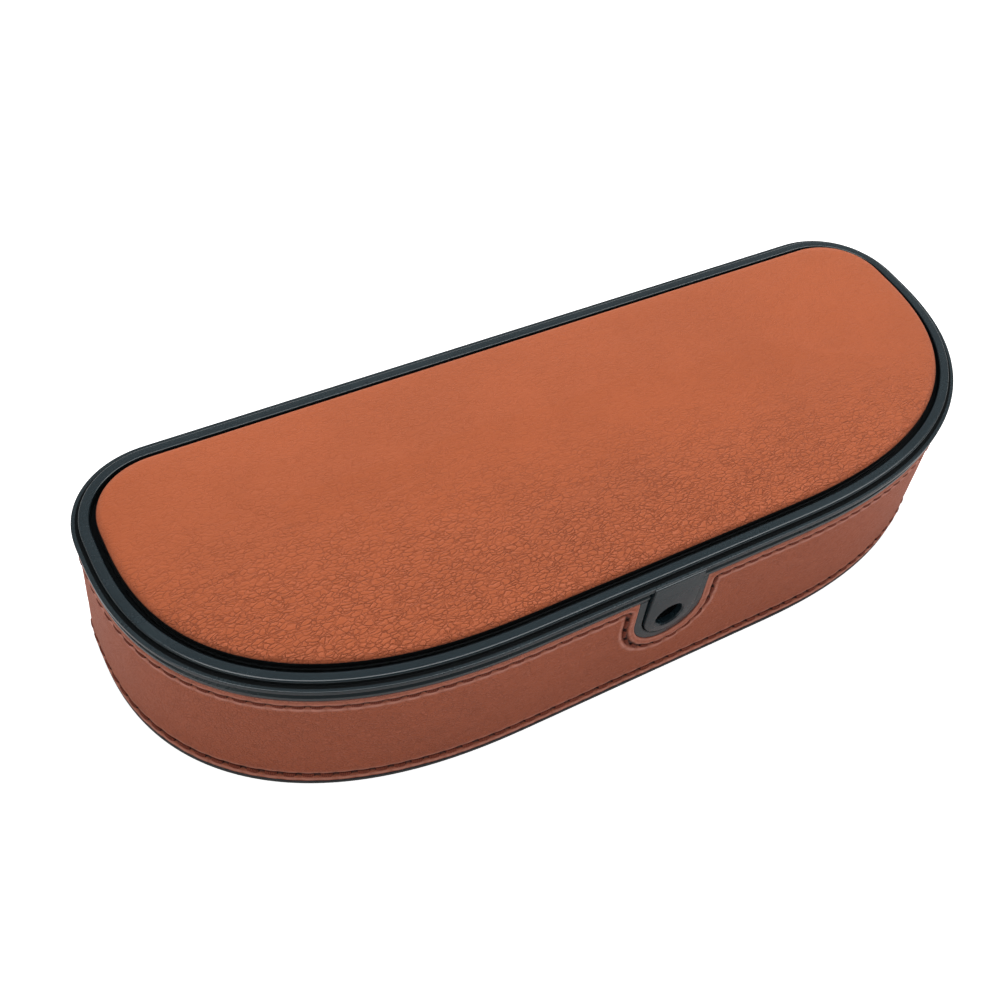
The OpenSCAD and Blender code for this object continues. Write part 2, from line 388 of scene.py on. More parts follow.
def skin(name: str, rings: Sequence[np.ndarray], closed: bool) -> Piece:
    """Extrudes one loop of edges from ring to ring.

    Args:
        name: Name of the piece.
        rings: Rings of points in millimetres, all of one length.
        closed: True if the last ring joins the first, and False if both ends are filled.

    Returns:
        The new piece, with its faces outwards.
    """
    bpy.ops.object.select_all(action="DESELECT")
    bpy.ops.mesh.primitive_circle_add(vertices=len(rings[0]), radius=1, fill_type="NOTHING")
    piece = rename(bpy.context.object, name)
    path = [*rings[1:], rings[0]] if closed else rings[1:]
    with editing(piece) as mesh:
        mesh.verts.layers.int.new("station")
        station = mesh.verts.layers.int["station"]
        for index, vertex in enumerate(mesh.verts):
            vertex[station] = index
        if not closed:
            bpy.ops.mesh.duplicate()
            bpy.ops.mesh.edge_face_add()
            place_ring(mesh, rings[0])
            bpy.ops.mesh.select_all(action="INVERT")
        place_ring(mesh, rings[0])
        for ring in path:
            bpy.ops.mesh.extrude_region_move()
            place_ring(bmesh.from_edit_mesh(piece.data), ring)
        if not closed:
            bpy.ops.mesh.edge_face_add()
    clean(piece)
    number_in_order(piece)
    piece.data.attributes.remove(piece.data.attributes["station"])
    return piece


def rounded(corners: Sequence[tuple[float, float, float]], steps: int = 5) -> list[Point2]:
    """Rounds the corners of a closed section.

    Args:
        corners: Offset, height and radius of each corner.
        steps: Segments in each rounded corner.

    Returns:
        The section's points as offset and height.
    """
    section: list[Point2] = []
    count = len(corners)
    for index, (x, y, radius) in enumerate(corners):
        here = Vector((x, y))
        before = (Vector(corners[index - 1][:2]) - here).normalized()
        after = (Vector(corners[(index + 1) % count][:2]) - here).normalized()
        half = before.angle(after) / 2
        if radius <= 0 or half > math.radians(89):
            section.append((x, y))
            continue
        centre = here + (before + after).normalized() * (radius / math.sin(half))
        start = here + before * (radius / math.tan(half)) - centre
        end = here + after * (radius / math.tan(half)) - centre
        turn = start.angle_signed(end)
        for step in range(steps + 1):
            spoke = start.copy()
            spoke.rotate(Matrix.Rotation(-turn * step / steps, 2))
            section.append(tuple(centre + spoke))
    return section


def swept(name: str, outline: PlanOutline, section: Sequence[Point2], count: int) -> Piece:
    """A closed section swept round the outline.

    Args:
        name: Name of the piece.
        outline: The plan outline.
        section: Offset and height of the section's points.
        count: Number of places round the outline.

    Returns:
        The swept ring.
    """
    places = outline.even(count)
    return skin(name, [outline.ring(places, d, z) for d, z in section], closed=True)


def prism(
    name: str,
    section: Sequence[Point2],
    along: Along,
    start: float,
    end: float,
    bevel: float = 0.0,
) -> Piece:
    """A flat section extruded along one axis.

    Args:
        name: Name of the piece.
        section: Points in the plane across the axis, in the order X, Y, Z without the axis.
        along: The axis that the section is extruded along.
        start: Where the section starts, in millimetres.
        end: Where it ends.
        bevel: Width of the bevel round the starting face, or 0 for none.

    Returns:
        The new piece.
    """

    def place(point: Point2, depth: float) -> Vector:
        """A point of the section at one depth.

        Args:
            point: The section's point.
            depth: Its place along the axis, in millimetres.

        Returns:
            The point in metres.
        """
        a, b = point
        found = {Along.X: (depth, a, b), Along.Y: (a, depth, b), Along.Z: (a, b, depth)}[along]
        return Vector(found) * MM

    bpy.ops.object.select_all(action="DESELECT")
    bpy.ops.mesh.primitive_circle_add(vertices=len(section), radius=1, fill_type="NGON")
    piece = rename(bpy.context.object, name)
    with editing(piece) as mesh:
        for vertex, point in zip(mesh.verts, section):
            vertex.co = place(point, start)
        reach = place((0, 0), end) - place((0, 0), start)
        bpy.ops.mesh.extrude_region_move(TRANSFORM_OT_translate={"value": reach})
        bpy.ops.mesh.select_all(action="SELECT")
        bpy.ops.mesh.normals_make_consistent(inside=False)
        if bevel > 0:
            axis = list(Along).index(along)
            bpy.ops.mesh.select_all(action="DESELECT")
            bpy.ops.mesh.select_mode(type="EDGE")
            mesh = bmesh.from_edit_mesh(piece.data)
            for edge in mesh.edges:
                edge.select = all(abs(v.co[axis] - start * MM) < 1e-6 for v in edge.verts)
            mesh.select_flush_mode()
            bpy.ops.mesh.bevel(offset=bevel * MM, segments=3, profile=0.5)
            bpy.ops.mesh.select_mode(type="VERT")
    return piece


def barrel(
    name: str, centre: Sequence[float], radius: float, length: float, along: Along, sides: int = 48
) -> Piece:
    """A plain round bar or cutter.

    Args:
        name: Name of the piece.
        centre: Its middle, in millimetres.
        radius: Its radius.
        length: Its length.
        along: The axis that it lies along.
        sides: Number of sides.

    Returns:
        The new piece.
    """
    turn = {Along.X: (0, math.pi / 2, 0), Along.Y: (math.pi / 2, 0, 0), Along.Z: (0, 0, 0)}[along]
    bpy.ops.object.select_all(action="DESELECT")
    bpy.ops.mesh.primitive_cylinder_add(
        vertices=sides,
        radius=radius * MM,
        depth=length * MM,
        location=Vector(centre) * MM,
        rotation=turn,
    )
    bpy.ops.object.transform_apply(location=True, rotation=True, scale=True)
    return rename(bpy.context.object, name)


def block(name: str, low: Sequence[float], high: Sequence[float], bevel: float = 0.0) -> Piece:
    """A block between two corners, with bevelled edges.

    Args:
        name: Name of the piece.
        low: Lowest corner, in millimetres.
        high: Highest corner.
        bevel: Width of the bevel, or 0 for none.

    Returns:
        The new piece.
    """
    low_v, high_v = Vector(low) * MM, Vector(high) * MM
    bpy.ops.object.select_all(action="DESELECT")
    bpy.ops.mesh.primitive_cube_add(size=1, location=(low_v + high_v) / 2, scale=high_v - low_v)
    bpy.ops.object.transform_apply(location=True, rotation=True, scale=True)
    piece = rename(bpy.context.object, name)
    if bevel > 0:
        with editing(piece):
            bpy.ops.mesh.select_all(action="SELECT")
            bpy.ops.mesh.bevel(offset=bevel * MM, segments=3, profile=0.5)
    return piece


def work(piece: Piece, tools: Sequence[Piece], cut: Cut) -> None:
    """Adds tools to a piece or cuts them out of it, and removes them.

    Args:
        piece: The solid that stays.
        tools: The solids that are used up.
        cut: Whether they are added or removed.
    """
    for tool in tools:
        pick(piece)
        modifier = piece.modifiers.new("work", "BOOLEAN")
        modifier.operation = cut.value
        modifier.solver = "MANIFOLD"
        modifier.object = tool
        before = len(piece.data.polygons)
        bpy.ops.object.modifier_apply(modifier="work")
        if len(piece.data.polygons) == before:
            LOG.warning("%s: %s changed nothing", piece.name, tool.name)
        bpy.data.objects.remove(tool)


def joined(name: str, parts: Sequence[Piece]) -> Piece:
    """Joins parts into one object without cutting them.

    Args:
        name: Name of the joined piece.
        parts: The parts, which are used up.

    Returns:
        The joined piece.
    """
    bpy.ops.object.select_all(action="DESELECT")
    for part in parts:
        part.select_set(True)
    bpy.context.view_layer.objects.active = parts[0]
    bpy.ops.object.join()
    return rename(bpy.context.object, name)


def tongue(radius: float, middle: float, top: float, steps: int = 40) -> list[Point2]:
    """Section of an upright tongue with a round end below.

    Args:
        radius: Half the tongue's width.
        middle: Height of the round end's centre.
        top: Height of the top edge.
        steps: Segments in the round end.

    Returns:
        X and Z of the section's points.
    """
    turns = [math.pi + math.pi * step / steps for step in range(steps + 1)]
    bend = [(radius * math.cos(t), middle + radius * math.sin(t)) for t in turns]
    return [*bend, (radius, top), (-radius, top)]


def dress(
    piece: Piece,
    material: bpy.types.Material,
    body: Body,
    replaced: Sequence[str] = (),
) -> Piece:
    """Gives a finished piece its material, its body and the nodes that it stands for.

    Args:
        piece: The finished piece.
        material: Its only material.
        body: The body that it moves with.
        replaced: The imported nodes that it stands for.

    Returns:
        The piece.
    """
    piece.data.materials.clear()
    piece.data.materials.append(material)
    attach(piece, body.value)
    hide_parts(*replaced)
    LOG.info("%s: %d faces", piece.name, len(piece.data.polygons))
    return piece


def paint_shade_black(
    piece: Piece,
    material: bpy.types.Material,
    outline: PlanOutline,
    chosen: Callable[[Vector, float], bool],
) -> None:
    """Gives some faces of a piece a second, dull black material, as painted shade where they lie deep in shadow.

    Args:
        piece: The dressed piece.
        material: The black material of the painted shade.
        outline: The plan outline.
        chosen: Whether a face is blackened, from its middle in millimetres and its distance
            from the outline.
    """
    tree = tree_of(outline.at(outline.even(1200))[0])
    piece.data.materials.append(material)
    for face in piece.data.polygons:
        middle = face.center / MM
        if chosen(middle, tree.find((middle.x, middle.y, 0))[2]):
            face.material_index = 1


# ---------------------------------------------------------------- node tools


class Bench:
    """Adds and links nodes in one node tree."""

    def __init__(self, tree: bpy.types.NodeTree) -> None:
        """Starts on an empty tree."""
        self.tree = tree
        tree.nodes.clear()

    def add(self, kind: str, settings: dict | None = None, **inputs: object) -> bpy.types.Node:
        """Adds one node.

        Args:
            kind: Node type without its ShaderNode prefix, or in full for group nodes.
            settings: Properties of the node itself.
            inputs: Values or sockets for its inputs, with _ for a space in the name.

        Returns:
            The node.
        """
        full = kind if kind.startswith("Node") else f"ShaderNode{kind}"
        node = self.tree.nodes.new(full)
        for key, value in (settings or {}).items():
            setattr(node, key, value)
        for key, value in inputs.items():
            self.put(node, key.replace("_", " "), value)
        return node

    def put(self, node: bpy.types.Node, socket: str | int, value: object) -> None:
        """Sets one input of a node, or links it.

        Args:
            node: The node.
            socket: The input's name or number.
            value: A value to set or a socket to link.
        """
        target = node.inputs[socket]
        if isinstance(value, Socket):
            self.tree.links.new(value, target)
        elif isinstance(value, tuple) and target.type == "RGBA":
            target.default_value = (*value, 1.0)[:4]
        else:
            target.default_value = value

    def maths(self, operation: str, a: object, b: object = 0.0, c: object = 0.0) -> Socket:
        """Adds a Math node.

        Args:
            operation: What it does.
            a: First value or socket.
            b: Second value or socket.
            c: Third value or socket.

        Returns:
            Its result.
        """
        node = self.add("Math", {"operation": operation})
        for index, value in enumerate((a, b, c)):
            self.put(node, index, value)
        return node.outputs[0]

    def scaled(self, vector: object, by: Sequence[float]) -> Socket:
        """Multiplies a vector by another.

        Args:
            vector: The vector's socket.
            by: What its three parts are multiplied by.

        Returns:
            The product.
        """
        node = self.add("VectorMath", {"operation": "MULTIPLY"})
        self.put(node, 0, vector)
        self.put(node, 1, tuple(by))
        return node.outputs[0]

    def ramp(self, value: object, low: float, high: float) -> Socket:
        """Eases a value from 0 to 1.

        Args:
            value: The value's socket.
            low: Where it gives 0.
            high: Where it gives 1.

        Returns:
            The eased value.
        """
        node = self.add("MapRange", {"interpolation_type": "SMOOTHSTEP"})
        self.put(node, "Value", value)
        self.put(node, "From Min", low)
        self.put(node, "From Max", high)
        return node.outputs["Result"]

    def blend(self, part: object, a: object, b: object) -> Socket:
        """Mixes two colours.

        Args:
            part: The share of the second one.
            a: First colour.
            b: Second colour.

        Returns:
            The mix.
        """
        node = self.add("Mix", {"data_type": "RGBA"})
        self.put(node, 0, part)
        self.put(node, 6, a)
        self.put(node, 7, b)
        return node.outputs[2]

    def noise(self, vector: object, scale: object, detail: float = 3.0, rough: float = 0.5) -> Socket:
        """Adds a noise texture.

        Args:
            vector: Coordinates.
            scale: Waves in a metre.
            detail: How many finer layers it has.
            rough: Strength of the finer layers.

        Returns:
            Its value.
        """
        node = self.add("TexNoise", Vector=vector, Detail=detail, Roughness=rough)
        self.put(node, "Scale", scale)
        return node.outputs[0]


def new_group(
    name: str, takes: dict[str, float | None], gives: Sequence[str]
) -> tuple[bpy.types.NodeTree, Bench]:
    """Starts a shader node group.

    Args:
        name: Name of the group.
        takes: Input names with their default values, where None is a vector.
        gives: Names of the value outputs.

    Returns:
        The group and a bench on it.
    """
    group = bpy.data.node_groups.new(name, "ShaderNodeTree")
    bench = Bench(group)
    for title, value in takes.items():
        kind = "NodeSocketVector" if value is None else "NodeSocketFloat"
        socket = group.interface.new_socket(name=title, in_out="INPUT", socket_type=kind)
        if value is not None:
            socket.default_value = value
    for title in gives:
        group.interface.new_socket(name=title, in_out="OUTPUT", socket_type="NodeSocketFloat")
    return group, bench


class Effects:
    """The shader node groups that several finishes share."""

    def __init__(self) -> None:
        """Builds every group once."""
        self.grain = self._grain()
        self.mottle = self._mottle()
        self.moulding = self._moulding()

    def _grain(self) -> bpy.types.NodeTree:
        """Leather grain: flat uneven pebbles with creases between them, and a painted highlight on each crease's
        far wall.

        Returns:
            The group, which gives Height, Crease, and the mask of the painted highlight on each crease's far wall.
        """
        takes = {"Vector": None, "Cells": 1000.0, "Stretch": 1.6, "Wrinkles": 0.6}
        group, bench = new_group("leather_grain", takes, ["Height", "Crease", "Lift"])
        given = bench.add("NodeGroupInput").outputs
        cells = given["Cells"]
        squeeze = bench.add("CombineXYZ", Y=1.0, Z=1.0)
        bench.put(squeeze, "X", bench.maths("DIVIDE", 1.0, given["Stretch"]))
        laid = bench.add("VectorMath", {"operation": "MULTIPLY"})
        bench.put(laid, 0, given["Vector"])
        bench.put(laid, 1, squeeze.outputs[0])
        stir = bench.add("TexNoise", Vector=laid.outputs[0], Detail=4.0)
        bench.put(stir, "Scale", bench.maths("MULTIPLY", cells, 0.6))
        centred = bench.add("VectorMath", {"operation": "SUBTRACT"})
        bench.put(centred, 0, stir.outputs["Color"])
        bench.put(centred, 1, (0.5, 0.5, 0.5))
        wander = bench.add("VectorMath", {"operation": "SCALE"})
        bench.put(wander, 0, centred.outputs[0])
        bench.put(wander, "Scale", bench.maths("DIVIDE", 2.0, cells))
        bent = bench.add("VectorMath", {"operation": "ADD"})
        bench.put(bent, 0, laid.outputs[0])
        bench.put(bent, 1, wander.outputs[0])
        ahead = bench.add("CombineXYZ", X=0.0, Z=0.0)
        bench.put(ahead, "Y", bench.maths("DIVIDE", 0.24, cells))
        beyond = bench.add("VectorMath", {"operation": "ADD"})
        bench.put(beyond, 0, bent.outputs[0])
        bench.put(beyond, 1, ahead.outputs[0])
        where = bench.noise(laid.outputs[0], bench.maths("MULTIPLY", cells, 0.5), 3.0)
        patch = bench.maths("MULTIPLY_ADD", bench.ramp(where, 0.36, 0.6), 0.45, 0.5)
        valleys = []
        for spot in (bent, beyond):
            pebbles = bench.add("TexVoronoi", {"feature": "DISTANCE_TO_EDGE"}, Vector=spot.outputs[0])
            bench.put(pebbles, "Scale", cells)
            valleys.append(bench.maths("SUBTRACT", 1.0, bench.ramp(pebbles.outputs["Distance"], 0.0, 0.14)))
        valley, far_wall = (bench.maths("MULTIPLY", v, patch) for v in valleys)
        # Painted highlight: where the valley a little further back is deeper than here lies a crease's far wall,
        # which is lightened as if lit from behind.
        painted_glint = bench.maths("MAXIMUM", bench.maths("SUBTRACT", far_wall, valley), 0.0)
        fold = bench.maths("MULTIPLY", valley, given["Wrinkles"])
        swell = bench.noise(laid.outputs[0], bench.maths("MULTIPLY", cells, 0.8), 2.0)
        pores = bench.noise(given["Vector"], bench.maths("MULTIPLY", cells, 4.0), 2.0)
        height = bench.maths("MULTIPLY_ADD", fold, -0.6, 0.7)
        height = bench.maths("MULTIPLY_ADD", swell, 0.4, height)
        height = bench.maths("MULTIPLY_ADD", pores, 0.12, height)
        # Crease mask: the colour darkens along it as painted shade in creases and pores, and it roughens them.
        crease = bench.maths("MULTIPLY_ADD", bench.ramp(pores, 0.55, 0.75), 0.12, fold)
        bench.add("NodeGroupOutput", Height=height, Crease=crease, Lift=painted_glint)
        return group

    def _mottle(self) -> bpy.types.NodeTree:
        """Slow and fine changes of shade over a surface.

        Returns:
            The group, which gives Slow and Fine, both about 0.5 in the middle.
        """
        group, bench = new_group("shade_mottle", {"Vector": None, "Scale": 40.0}, ["Slow", "Fine"])
        given = bench.add("NodeGroupInput").outputs
        slow = bench.noise(given["Vector"], given["Scale"], 3.0, 0.55)
        fine = bench.noise(given["Vector"], bench.maths("MULTIPLY", given["Scale"], 22.0), 3.0, 0.6)
        bench.add("NodeGroupOutput", Slow=slow, Fine=fine)
        return group

    def _moulding(self) -> bpy.types.NodeTree:
        """The skin of moulded plastic: a fine spark texture and faint rubbing marks.

        Returns:
            The group, which gives Height and Rub.
        """
        takes = {"Vector": None, "Spark": 6000.0, "Marks": 90.0}
        group, bench = new_group("moulded_skin", takes, ["Height", "Rub"])
        given = bench.add("NodeGroupInput").outputs
        spark = bench.noise(given["Vector"], given["Spark"], 2.0, 0.6)
        long_way = bench.scaled(given["Vector"], (0.15, 1.0, 1.0))
        rub = bench.noise(long_way, given["Marks"], 5.0, 0.7)
        bench.add("NodeGroupOutput", Height=spark, Rub=bench.ramp(rub, 0.35, 0.8))
        return group

    @staticmethod
    def place(bench: Bench, group: bpy.types.NodeTree, **inputs: object) -> bpy.types.bpy_prop_collection:
        """Places a group in a material.

        Args:
            bench: The material's bench.
            group: The group to place.
            inputs: Values or sockets for its inputs.

        Returns:
            The placed group's outputs.
        """
        node = bench.add("Group", {"node_tree": group})
        for key, value in inputs.items():
            bench.put(node, key, value)
        return node.outputs


def new_material(name: str) -> tuple[bpy.types.Material, Bench, bpy.types.Node]:
    """Starts a material with one Principled shader.

    Args:
        name: Name of the material.

    Returns:
        The material, a bench on it and the shader node.
    """
    material = bpy.data.materials.new(name)
    material.use_nodes = True
    bench = Bench(material.node_tree)
    shader = bench.add("BsdfPrincipled")
    output = bench.add("OutputMaterial")
    bench.put(output, "Surface", shader.outputs[0])
    return material, bench, shader


@dataclass(frozen=True)
class LeatherFinish:
    """Grained leather, with painted shade in its creases, a painted highlight on their far walls, painted shade on
    the cover's low edge wall, and painted shade and highlights along its seams.

    The grain can be calmer towards the back, where back_calm is how much of it is lost.
    """

    name: str
    colour: Colour
    mottle_and_crease_shade: Colour
    cells: float
    stretch: float
    depth: float
    roughness: float
    wrinkles: float = 0.6
    painted_grain_light: float = 0.5
    back_calm: float = 0.0
    calm_slant: float = 0.12
    calm_from: float = 0.008
    calm_to: float = -0.026
    # Height below which the colour turns near black: painted shade on the edge wall down in the groove.
    edge_shade_z: float | None = None
    edge_shade_blend: float = 0.3
    seamed: bool = False

    def _edges(self, bench: Bench, place: object, body: Socket) -> Socket:
        """Adds the painted shade on the low edge wall, or the painted shade and highlights along the seams, to a
        colour.

        Args:
            bench: The material's bench.
            place: Object coordinates.
            body: The leather's colour.

        Returns:
            The colour with its painted shade and highlights.
        """
        if self.edge_shade_z is not None:
            # Painted shade: the cover's edge wall below the given height turns near black, standing in for the
            # groove's shadow on it.
            height = bench.add("SeparateXYZ", Vector=place).outputs["Z"]
            above = bench.ramp(height, (self.edge_shade_z - self.edge_shade_blend) * MM, self.edge_shade_z * MM)
            body = bench.blend(above, (0.006, 0.003, 0.002), body)
        if self.seamed:
            # Painted shade in the seams and stitch holes, and a painted highlight on the lit lips beside the seams
            # and along the top edge.
            shade = bench.add("Attribute", {"attribute_name": "seam_shade"}).outputs["Fac"]
            rubbed = bench.add("Attribute", {"attribute_name": "seam_highlight"}).outputs["Fac"]
            pale = tuple(min(1.0, c * 1.15 + 0.14) for c in self.colour)
            body = bench.blend(rubbed, body, pale)
            body = bench.blend(shade, body, (0.02, 0.004, 0.003))
        return body

    def make(self, effects: Effects) -> bpy.types.Material:
        """Builds the material.

        Args:
            effects: The shared node groups.

        Returns:
            The material.
        """
        material, bench, shader = new_material(self.name)
        place = bench.add("TexCoord").outputs["Object"]
        grain = effects.place(
            bench, effects.grain, Vector=place, Cells=self.cells, Stretch=self.stretch, Wrinkles=self.wrinkles
        )
        shade = effects.place(bench, effects.mottle, Vector=place, Scale=28.0)
        light = tuple(min(1.0, c * 1.05) for c in self.colour)
        dark = tuple(c * 0.95 for c in self.colour)
        body = bench.blend(bench.ramp(shade["Slow"], 0.3, 0.7), dark, light)
        body = bench.blend(bench.maths("MULTIPLY", shade["Fine"], 0.08), body, self.mottle_and_crease_shade)
        axes = bench.add("SeparateXYZ", Vector=place).outputs
        slant = bench.maths("MULTIPLY_ADD", axes["X"], self.calm_slant, axes["Y"])
        forward = bench.ramp(slant, self.calm_from, self.calm_to)
        gain = bench.maths("MULTIPLY_ADD", forward, self.back_calm, 1.0 - self.back_calm)
        # Painted shade in the grain's creases and pores.
        crease = bench.maths("MULTIPLY", grain["Crease"], gain)
        body = bench.blend(bench.maths("MULTIPLY", crease, self.painted_grain_light), body, self.mottle_and_crease_shade)
        # Painted highlight on each crease's far wall, as if lit from behind.
        painted_glint = bench.maths("MULTIPLY", bench.maths("MULTIPLY", grain["Lift"], gain), self.painted_grain_light)
        glint = tuple(min(1.0, c * 1.35 + 0.05) for c in self.colour)
        body = bench.blend(bench.maths("MULTIPLY", painted_glint, 0.9), body, glint)
        bench.put(shader, "Base Color", self._edges(bench, place, body))
        rough = bench.maths("MULTIPLY_ADD", shade["Fine"], 0.1, self.roughness - 0.05)
        rough = bench.maths("MULTIPLY_ADD", grain["Crease"], 0.1, rough)
        bench.put(shader, "Roughness", rough)
        height = bench.maths("MULTIPLY", grain["Height"], gain)
        bump = bench.add("Bump", Height=height, Distance=self.depth * MM, Strength=1.0)
        bench.put(shader, "Normal", bump.outputs[0])
        bench.put(shader, "Specular IOR Level", 0.3)
        bench.put(shader, "Sheen Weight", 0.03)
        bench.put(shader, "Sheen Roughness", 0.5)
        return material


@dataclass(frozen=True)
class PlasticFinish:
    """Moulded plastic with a fine skin and faint rubbing marks."""

    name: str
    colour: Colour
    rubbed: Colour
    roughness: float
    depth: float = 0.01
    spark: float = 6000.0
    specular: float = 0.5

    def make(self, effects: Effects) -> bpy.types.Material:
        """Builds the material.

        Args:
            effects: The shared node groups.

        Returns:
            The material.
        """
        material, bench, shader = new_material(self.name)
        place = bench.add("TexCoord").outputs["Object"]
        surface = effects.place(bench, effects.moulding, Vector=place, Spark=self.spark)
        shade = effects.place(bench, effects.mottle, Vector=place, Scale=60.0)
        part = bench.maths("MULTIPLY", surface["Rub"], 0.5)
        bench.put(shader, "Base Color", bench.blend(part, self.colour, self.rubbed))
        rough = bench.maths("MULTIPLY_ADD", surface["Rub"], 0.08, self.roughness)
        rough = bench.maths("MULTIPLY_ADD", shade["Fine"], 0.08, rough)
        bench.put(shader, "Roughness", rough)
        bump = bench.add("Bump", Height=surface["Height"], Distance=self.depth * MM, Strength=1.0)
        bench.put(shader, "Normal", bump.outputs[0])
        bench.put(shader, "Specular IOR Level", self.specular)
        return material


@dataclass(frozen=True)
class FlockFinish:
    """Flocked fabric: short dark fibres with a soft sheen."""

    name: str
    colour: Colour
    tips: Colour

    def make(self, effects: Effects) -> bpy.types.Material:
        """Builds the material.

        Args:
            effects: The shared node groups.

        Returns:
            The material.
        """
        material, bench, shader = new_material(self.name)
        place = bench.add("TexCoord").outputs["Object"]
        shade = effects.place(bench, effects.mottle, Vector=place, Scale=55.0)
        fibres = bench.noise(place, 3500.0, 3.0, 0.7)
        brushed, raised = bench.ramp(shade["Slow"], 0.35, 0.65), bench.ramp(fibres, 0.35, 0.75)
        nap = bench.maths("MULTIPLY_ADD", brushed, 0.35, raised)
        body = bench.blend(bench.maths("MULTIPLY", nap, 0.7), self.colour, self.tips)
        bench.put(shader, "Base Color", body)
        bench.put(shader, "Roughness", bench.maths("MULTIPLY_ADD", fibres, 0.1, 0.88))
        bump = bench.add("Bump", Height=fibres, Distance=0.12 * MM, Strength=1.0)
        bench.put(shader, "Normal", bump.outputs[0])
        bench.put(shader, "Sheen Weight", 0.5)
        bench.put(shader, "Sheen Roughness", 0.4)
        return material


@dataclass(frozen=True)
class MetalFinish:
    """Plated or drawn metal with fine lines along X."""

    name: str
    colour: Colour
    roughness: float
    lines: float = 2500.0

    def make(self, effects: Effects) -> bpy.types.Material:
        """Builds the material.

        Args:
            effects: The shared node groups.

        Returns:
            The material.
        """
        material, bench, shader = new_material(self.name)
        place = bench.add("TexCoord").outputs["Object"]
        drawn = bench.noise(bench.scaled(place, (0.03, 1.0, 1.0)), self.lines, 3.0, 0.6)
        shade = effects.place(bench, effects.mottle, Vector=place, Scale=120.0)
        dull = tuple(c * 0.75 for c in self.colour)
        bench.put(shader, "Base Color", bench.blend(bench.ramp(shade["Slow"], 0.35, 0.7), self.colour, dull))
        bench.put(shader, "Metallic", 1.0)
        rough = bench.maths("MULTIPLY_ADD", drawn, 0.15, self.roughness)
        bench.put(shader, "Roughness", bench.maths("MULTIPLY_ADD", shade["Fine"], 0.08, rough))
        bump = bench.add("Bump", Height=drawn, Distance=0.004 * MM, Strength=1.0)
        bench.put(shader, "Normal", bump.outputs[0])
        return material


@dataclass(frozen=True)
class ThreadFinish:
    """Waxed, twisted thread that reads each stitch's own length and turn."""

    name: str
    colour: Colour
    # Lighter colour of the ply crests, partly painted highlight.
    pale: Colour
    # Near-black colour of the stitch ends: painted shade in the holes.
    hole: Colour
    plies: float = 7.0

    def make(self, effects: Effects) -> bpy.types.Material:
        """Builds the material.

        Args:
            effects: The shared node groups.

        Returns:
            The material.
        """
        material, bench, shader = new_material(self.name)
        coords = bench.add("TexCoord").outputs
        route = bench.add("SeparateXYZ", Vector=bench.add("UVMap", {"uv_map": "thread"}).outputs[0])
        along, turn = route.outputs["X"], route.outputs["Y"]
        twist = bench.maths("MULTIPLY_ADD", along, self.plies, turn)
        lay = bench.maths("SINE", bench.maths("MULTIPLY", twist, math.tau))
        ply = bench.maths("MULTIPLY_ADD", lay, 0.5, 0.5)
        shade = effects.place(bench, effects.mottle, Vector=coords["Object"], Scale=180.0)
        # Lighter on the ply crests: painted highlight, mixed with random fine tone.
        mixed = bench.maths("MULTIPLY_ADD", ply, 0.35, bench.maths("MULTIPLY", shade["Fine"], 0.5))
        yarn = bench.blend(mixed, self.colour, self.pale)
        # Near-black ends: painted shade where the thread dives into its holes.
        from_middle = bench.maths("ABSOLUTE", bench.maths("SUBTRACT", along, 0.5))
        ends = bench.ramp(from_middle, 0.36, 0.49)
        bench.put(shader, "Base Color", bench.blend(ends, yarn, self.hole))
        bench.put(shader, "Roughness", bench.maths("MULTIPLY_ADD", ply, -0.1, 0.75))
        bench.put(shader, "Specular IOR Level", 0.2)
        bump = bench.add("Bump", Height=ply, Distance=0.05 * MM, Strength=1.0)
        bench.put(shader, "Normal", bump.outputs[0])
        return material


class Wardrobe:
    """Every material of the case, made once."""

    def __init__(self) -> None:
        """Builds the shared effects and then the finishes."""
        effects = Effects()
        self.lid_leather = LeatherFinish(
            name="lid_leather",
            colour=(0.405, 0.096, 0.033),
            mottle_and_crease_shade=(0.19, 0.035, 0.012),
            cells=1300.0,
            stretch=1.9,
            depth=0.26,
            roughness=0.5,
            wrinkles=1.0,
            painted_grain_light=0.46,
            back_calm=0.72,
            # Painted shade on the cover's edge wall below this height.
            edge_shade_z=35.5,
            edge_shade_blend=0.45,
        ).make(effects)
        self.band_leather = LeatherFinish(
            name="band_leather",
            colour=(0.4, 0.094, 0.038),
            mottle_and_crease_shade=(0.2, 0.042, 0.017),
            cells=1350.0,
            stretch=1.3,
            depth=0.2,
            roughness=0.6,
            wrinkles=0.8,
            painted_grain_light=0.42,
            seamed=True,
        ).make(effects)
        self.frame_plastic = PlasticFinish(
            "frame_plastic", (0.0075, 0.0165, 0.0215), (0.014, 0.026, 0.032), roughness=0.2
        ).make(effects)
        # Dull black that stands in for deep shade in grooves, recesses and pockets: painted shade.
        self.groove = PlasticFinish(
            "frame_painted_shade", (0.001, 0.0018, 0.0022), (0.002, 0.0035, 0.004), 0.75, specular=0.12
        ).make(effects)
        self.rim_plastic = PlasticFinish(
            "rim_plastic", (0.016, 0.025, 0.029), (0.026, 0.036, 0.04), roughness=0.2
        ).make(effects)
        self.moulded = PlasticFinish(
            "moulded_plastic", (0.012, 0.013, 0.014), (0.025, 0.026, 0.028), 0.5, depth=0.05, spark=2200.0
        ).make(effects)
        self.lining = FlockFinish("flocked_lining", (0.008, 0.008, 0.009), (0.04, 0.04, 0.044)).make(effects)
        self.thread = ThreadFinish(
            "waxed_thread", (0.085, 0.014, 0.008), (0.3, 0.075, 0.04), (0.012, 0.002, 0.002)
        ).make(effects)
        self.nickel = MetalFinish("nickel_plate", (0.62, 0.61, 0.58), 0.18, lines=900.0).make(effects)
        self.steel = MetalFinish("drawn_steel", (0.5, 0.5, 0.51), 0.28).make(effects)


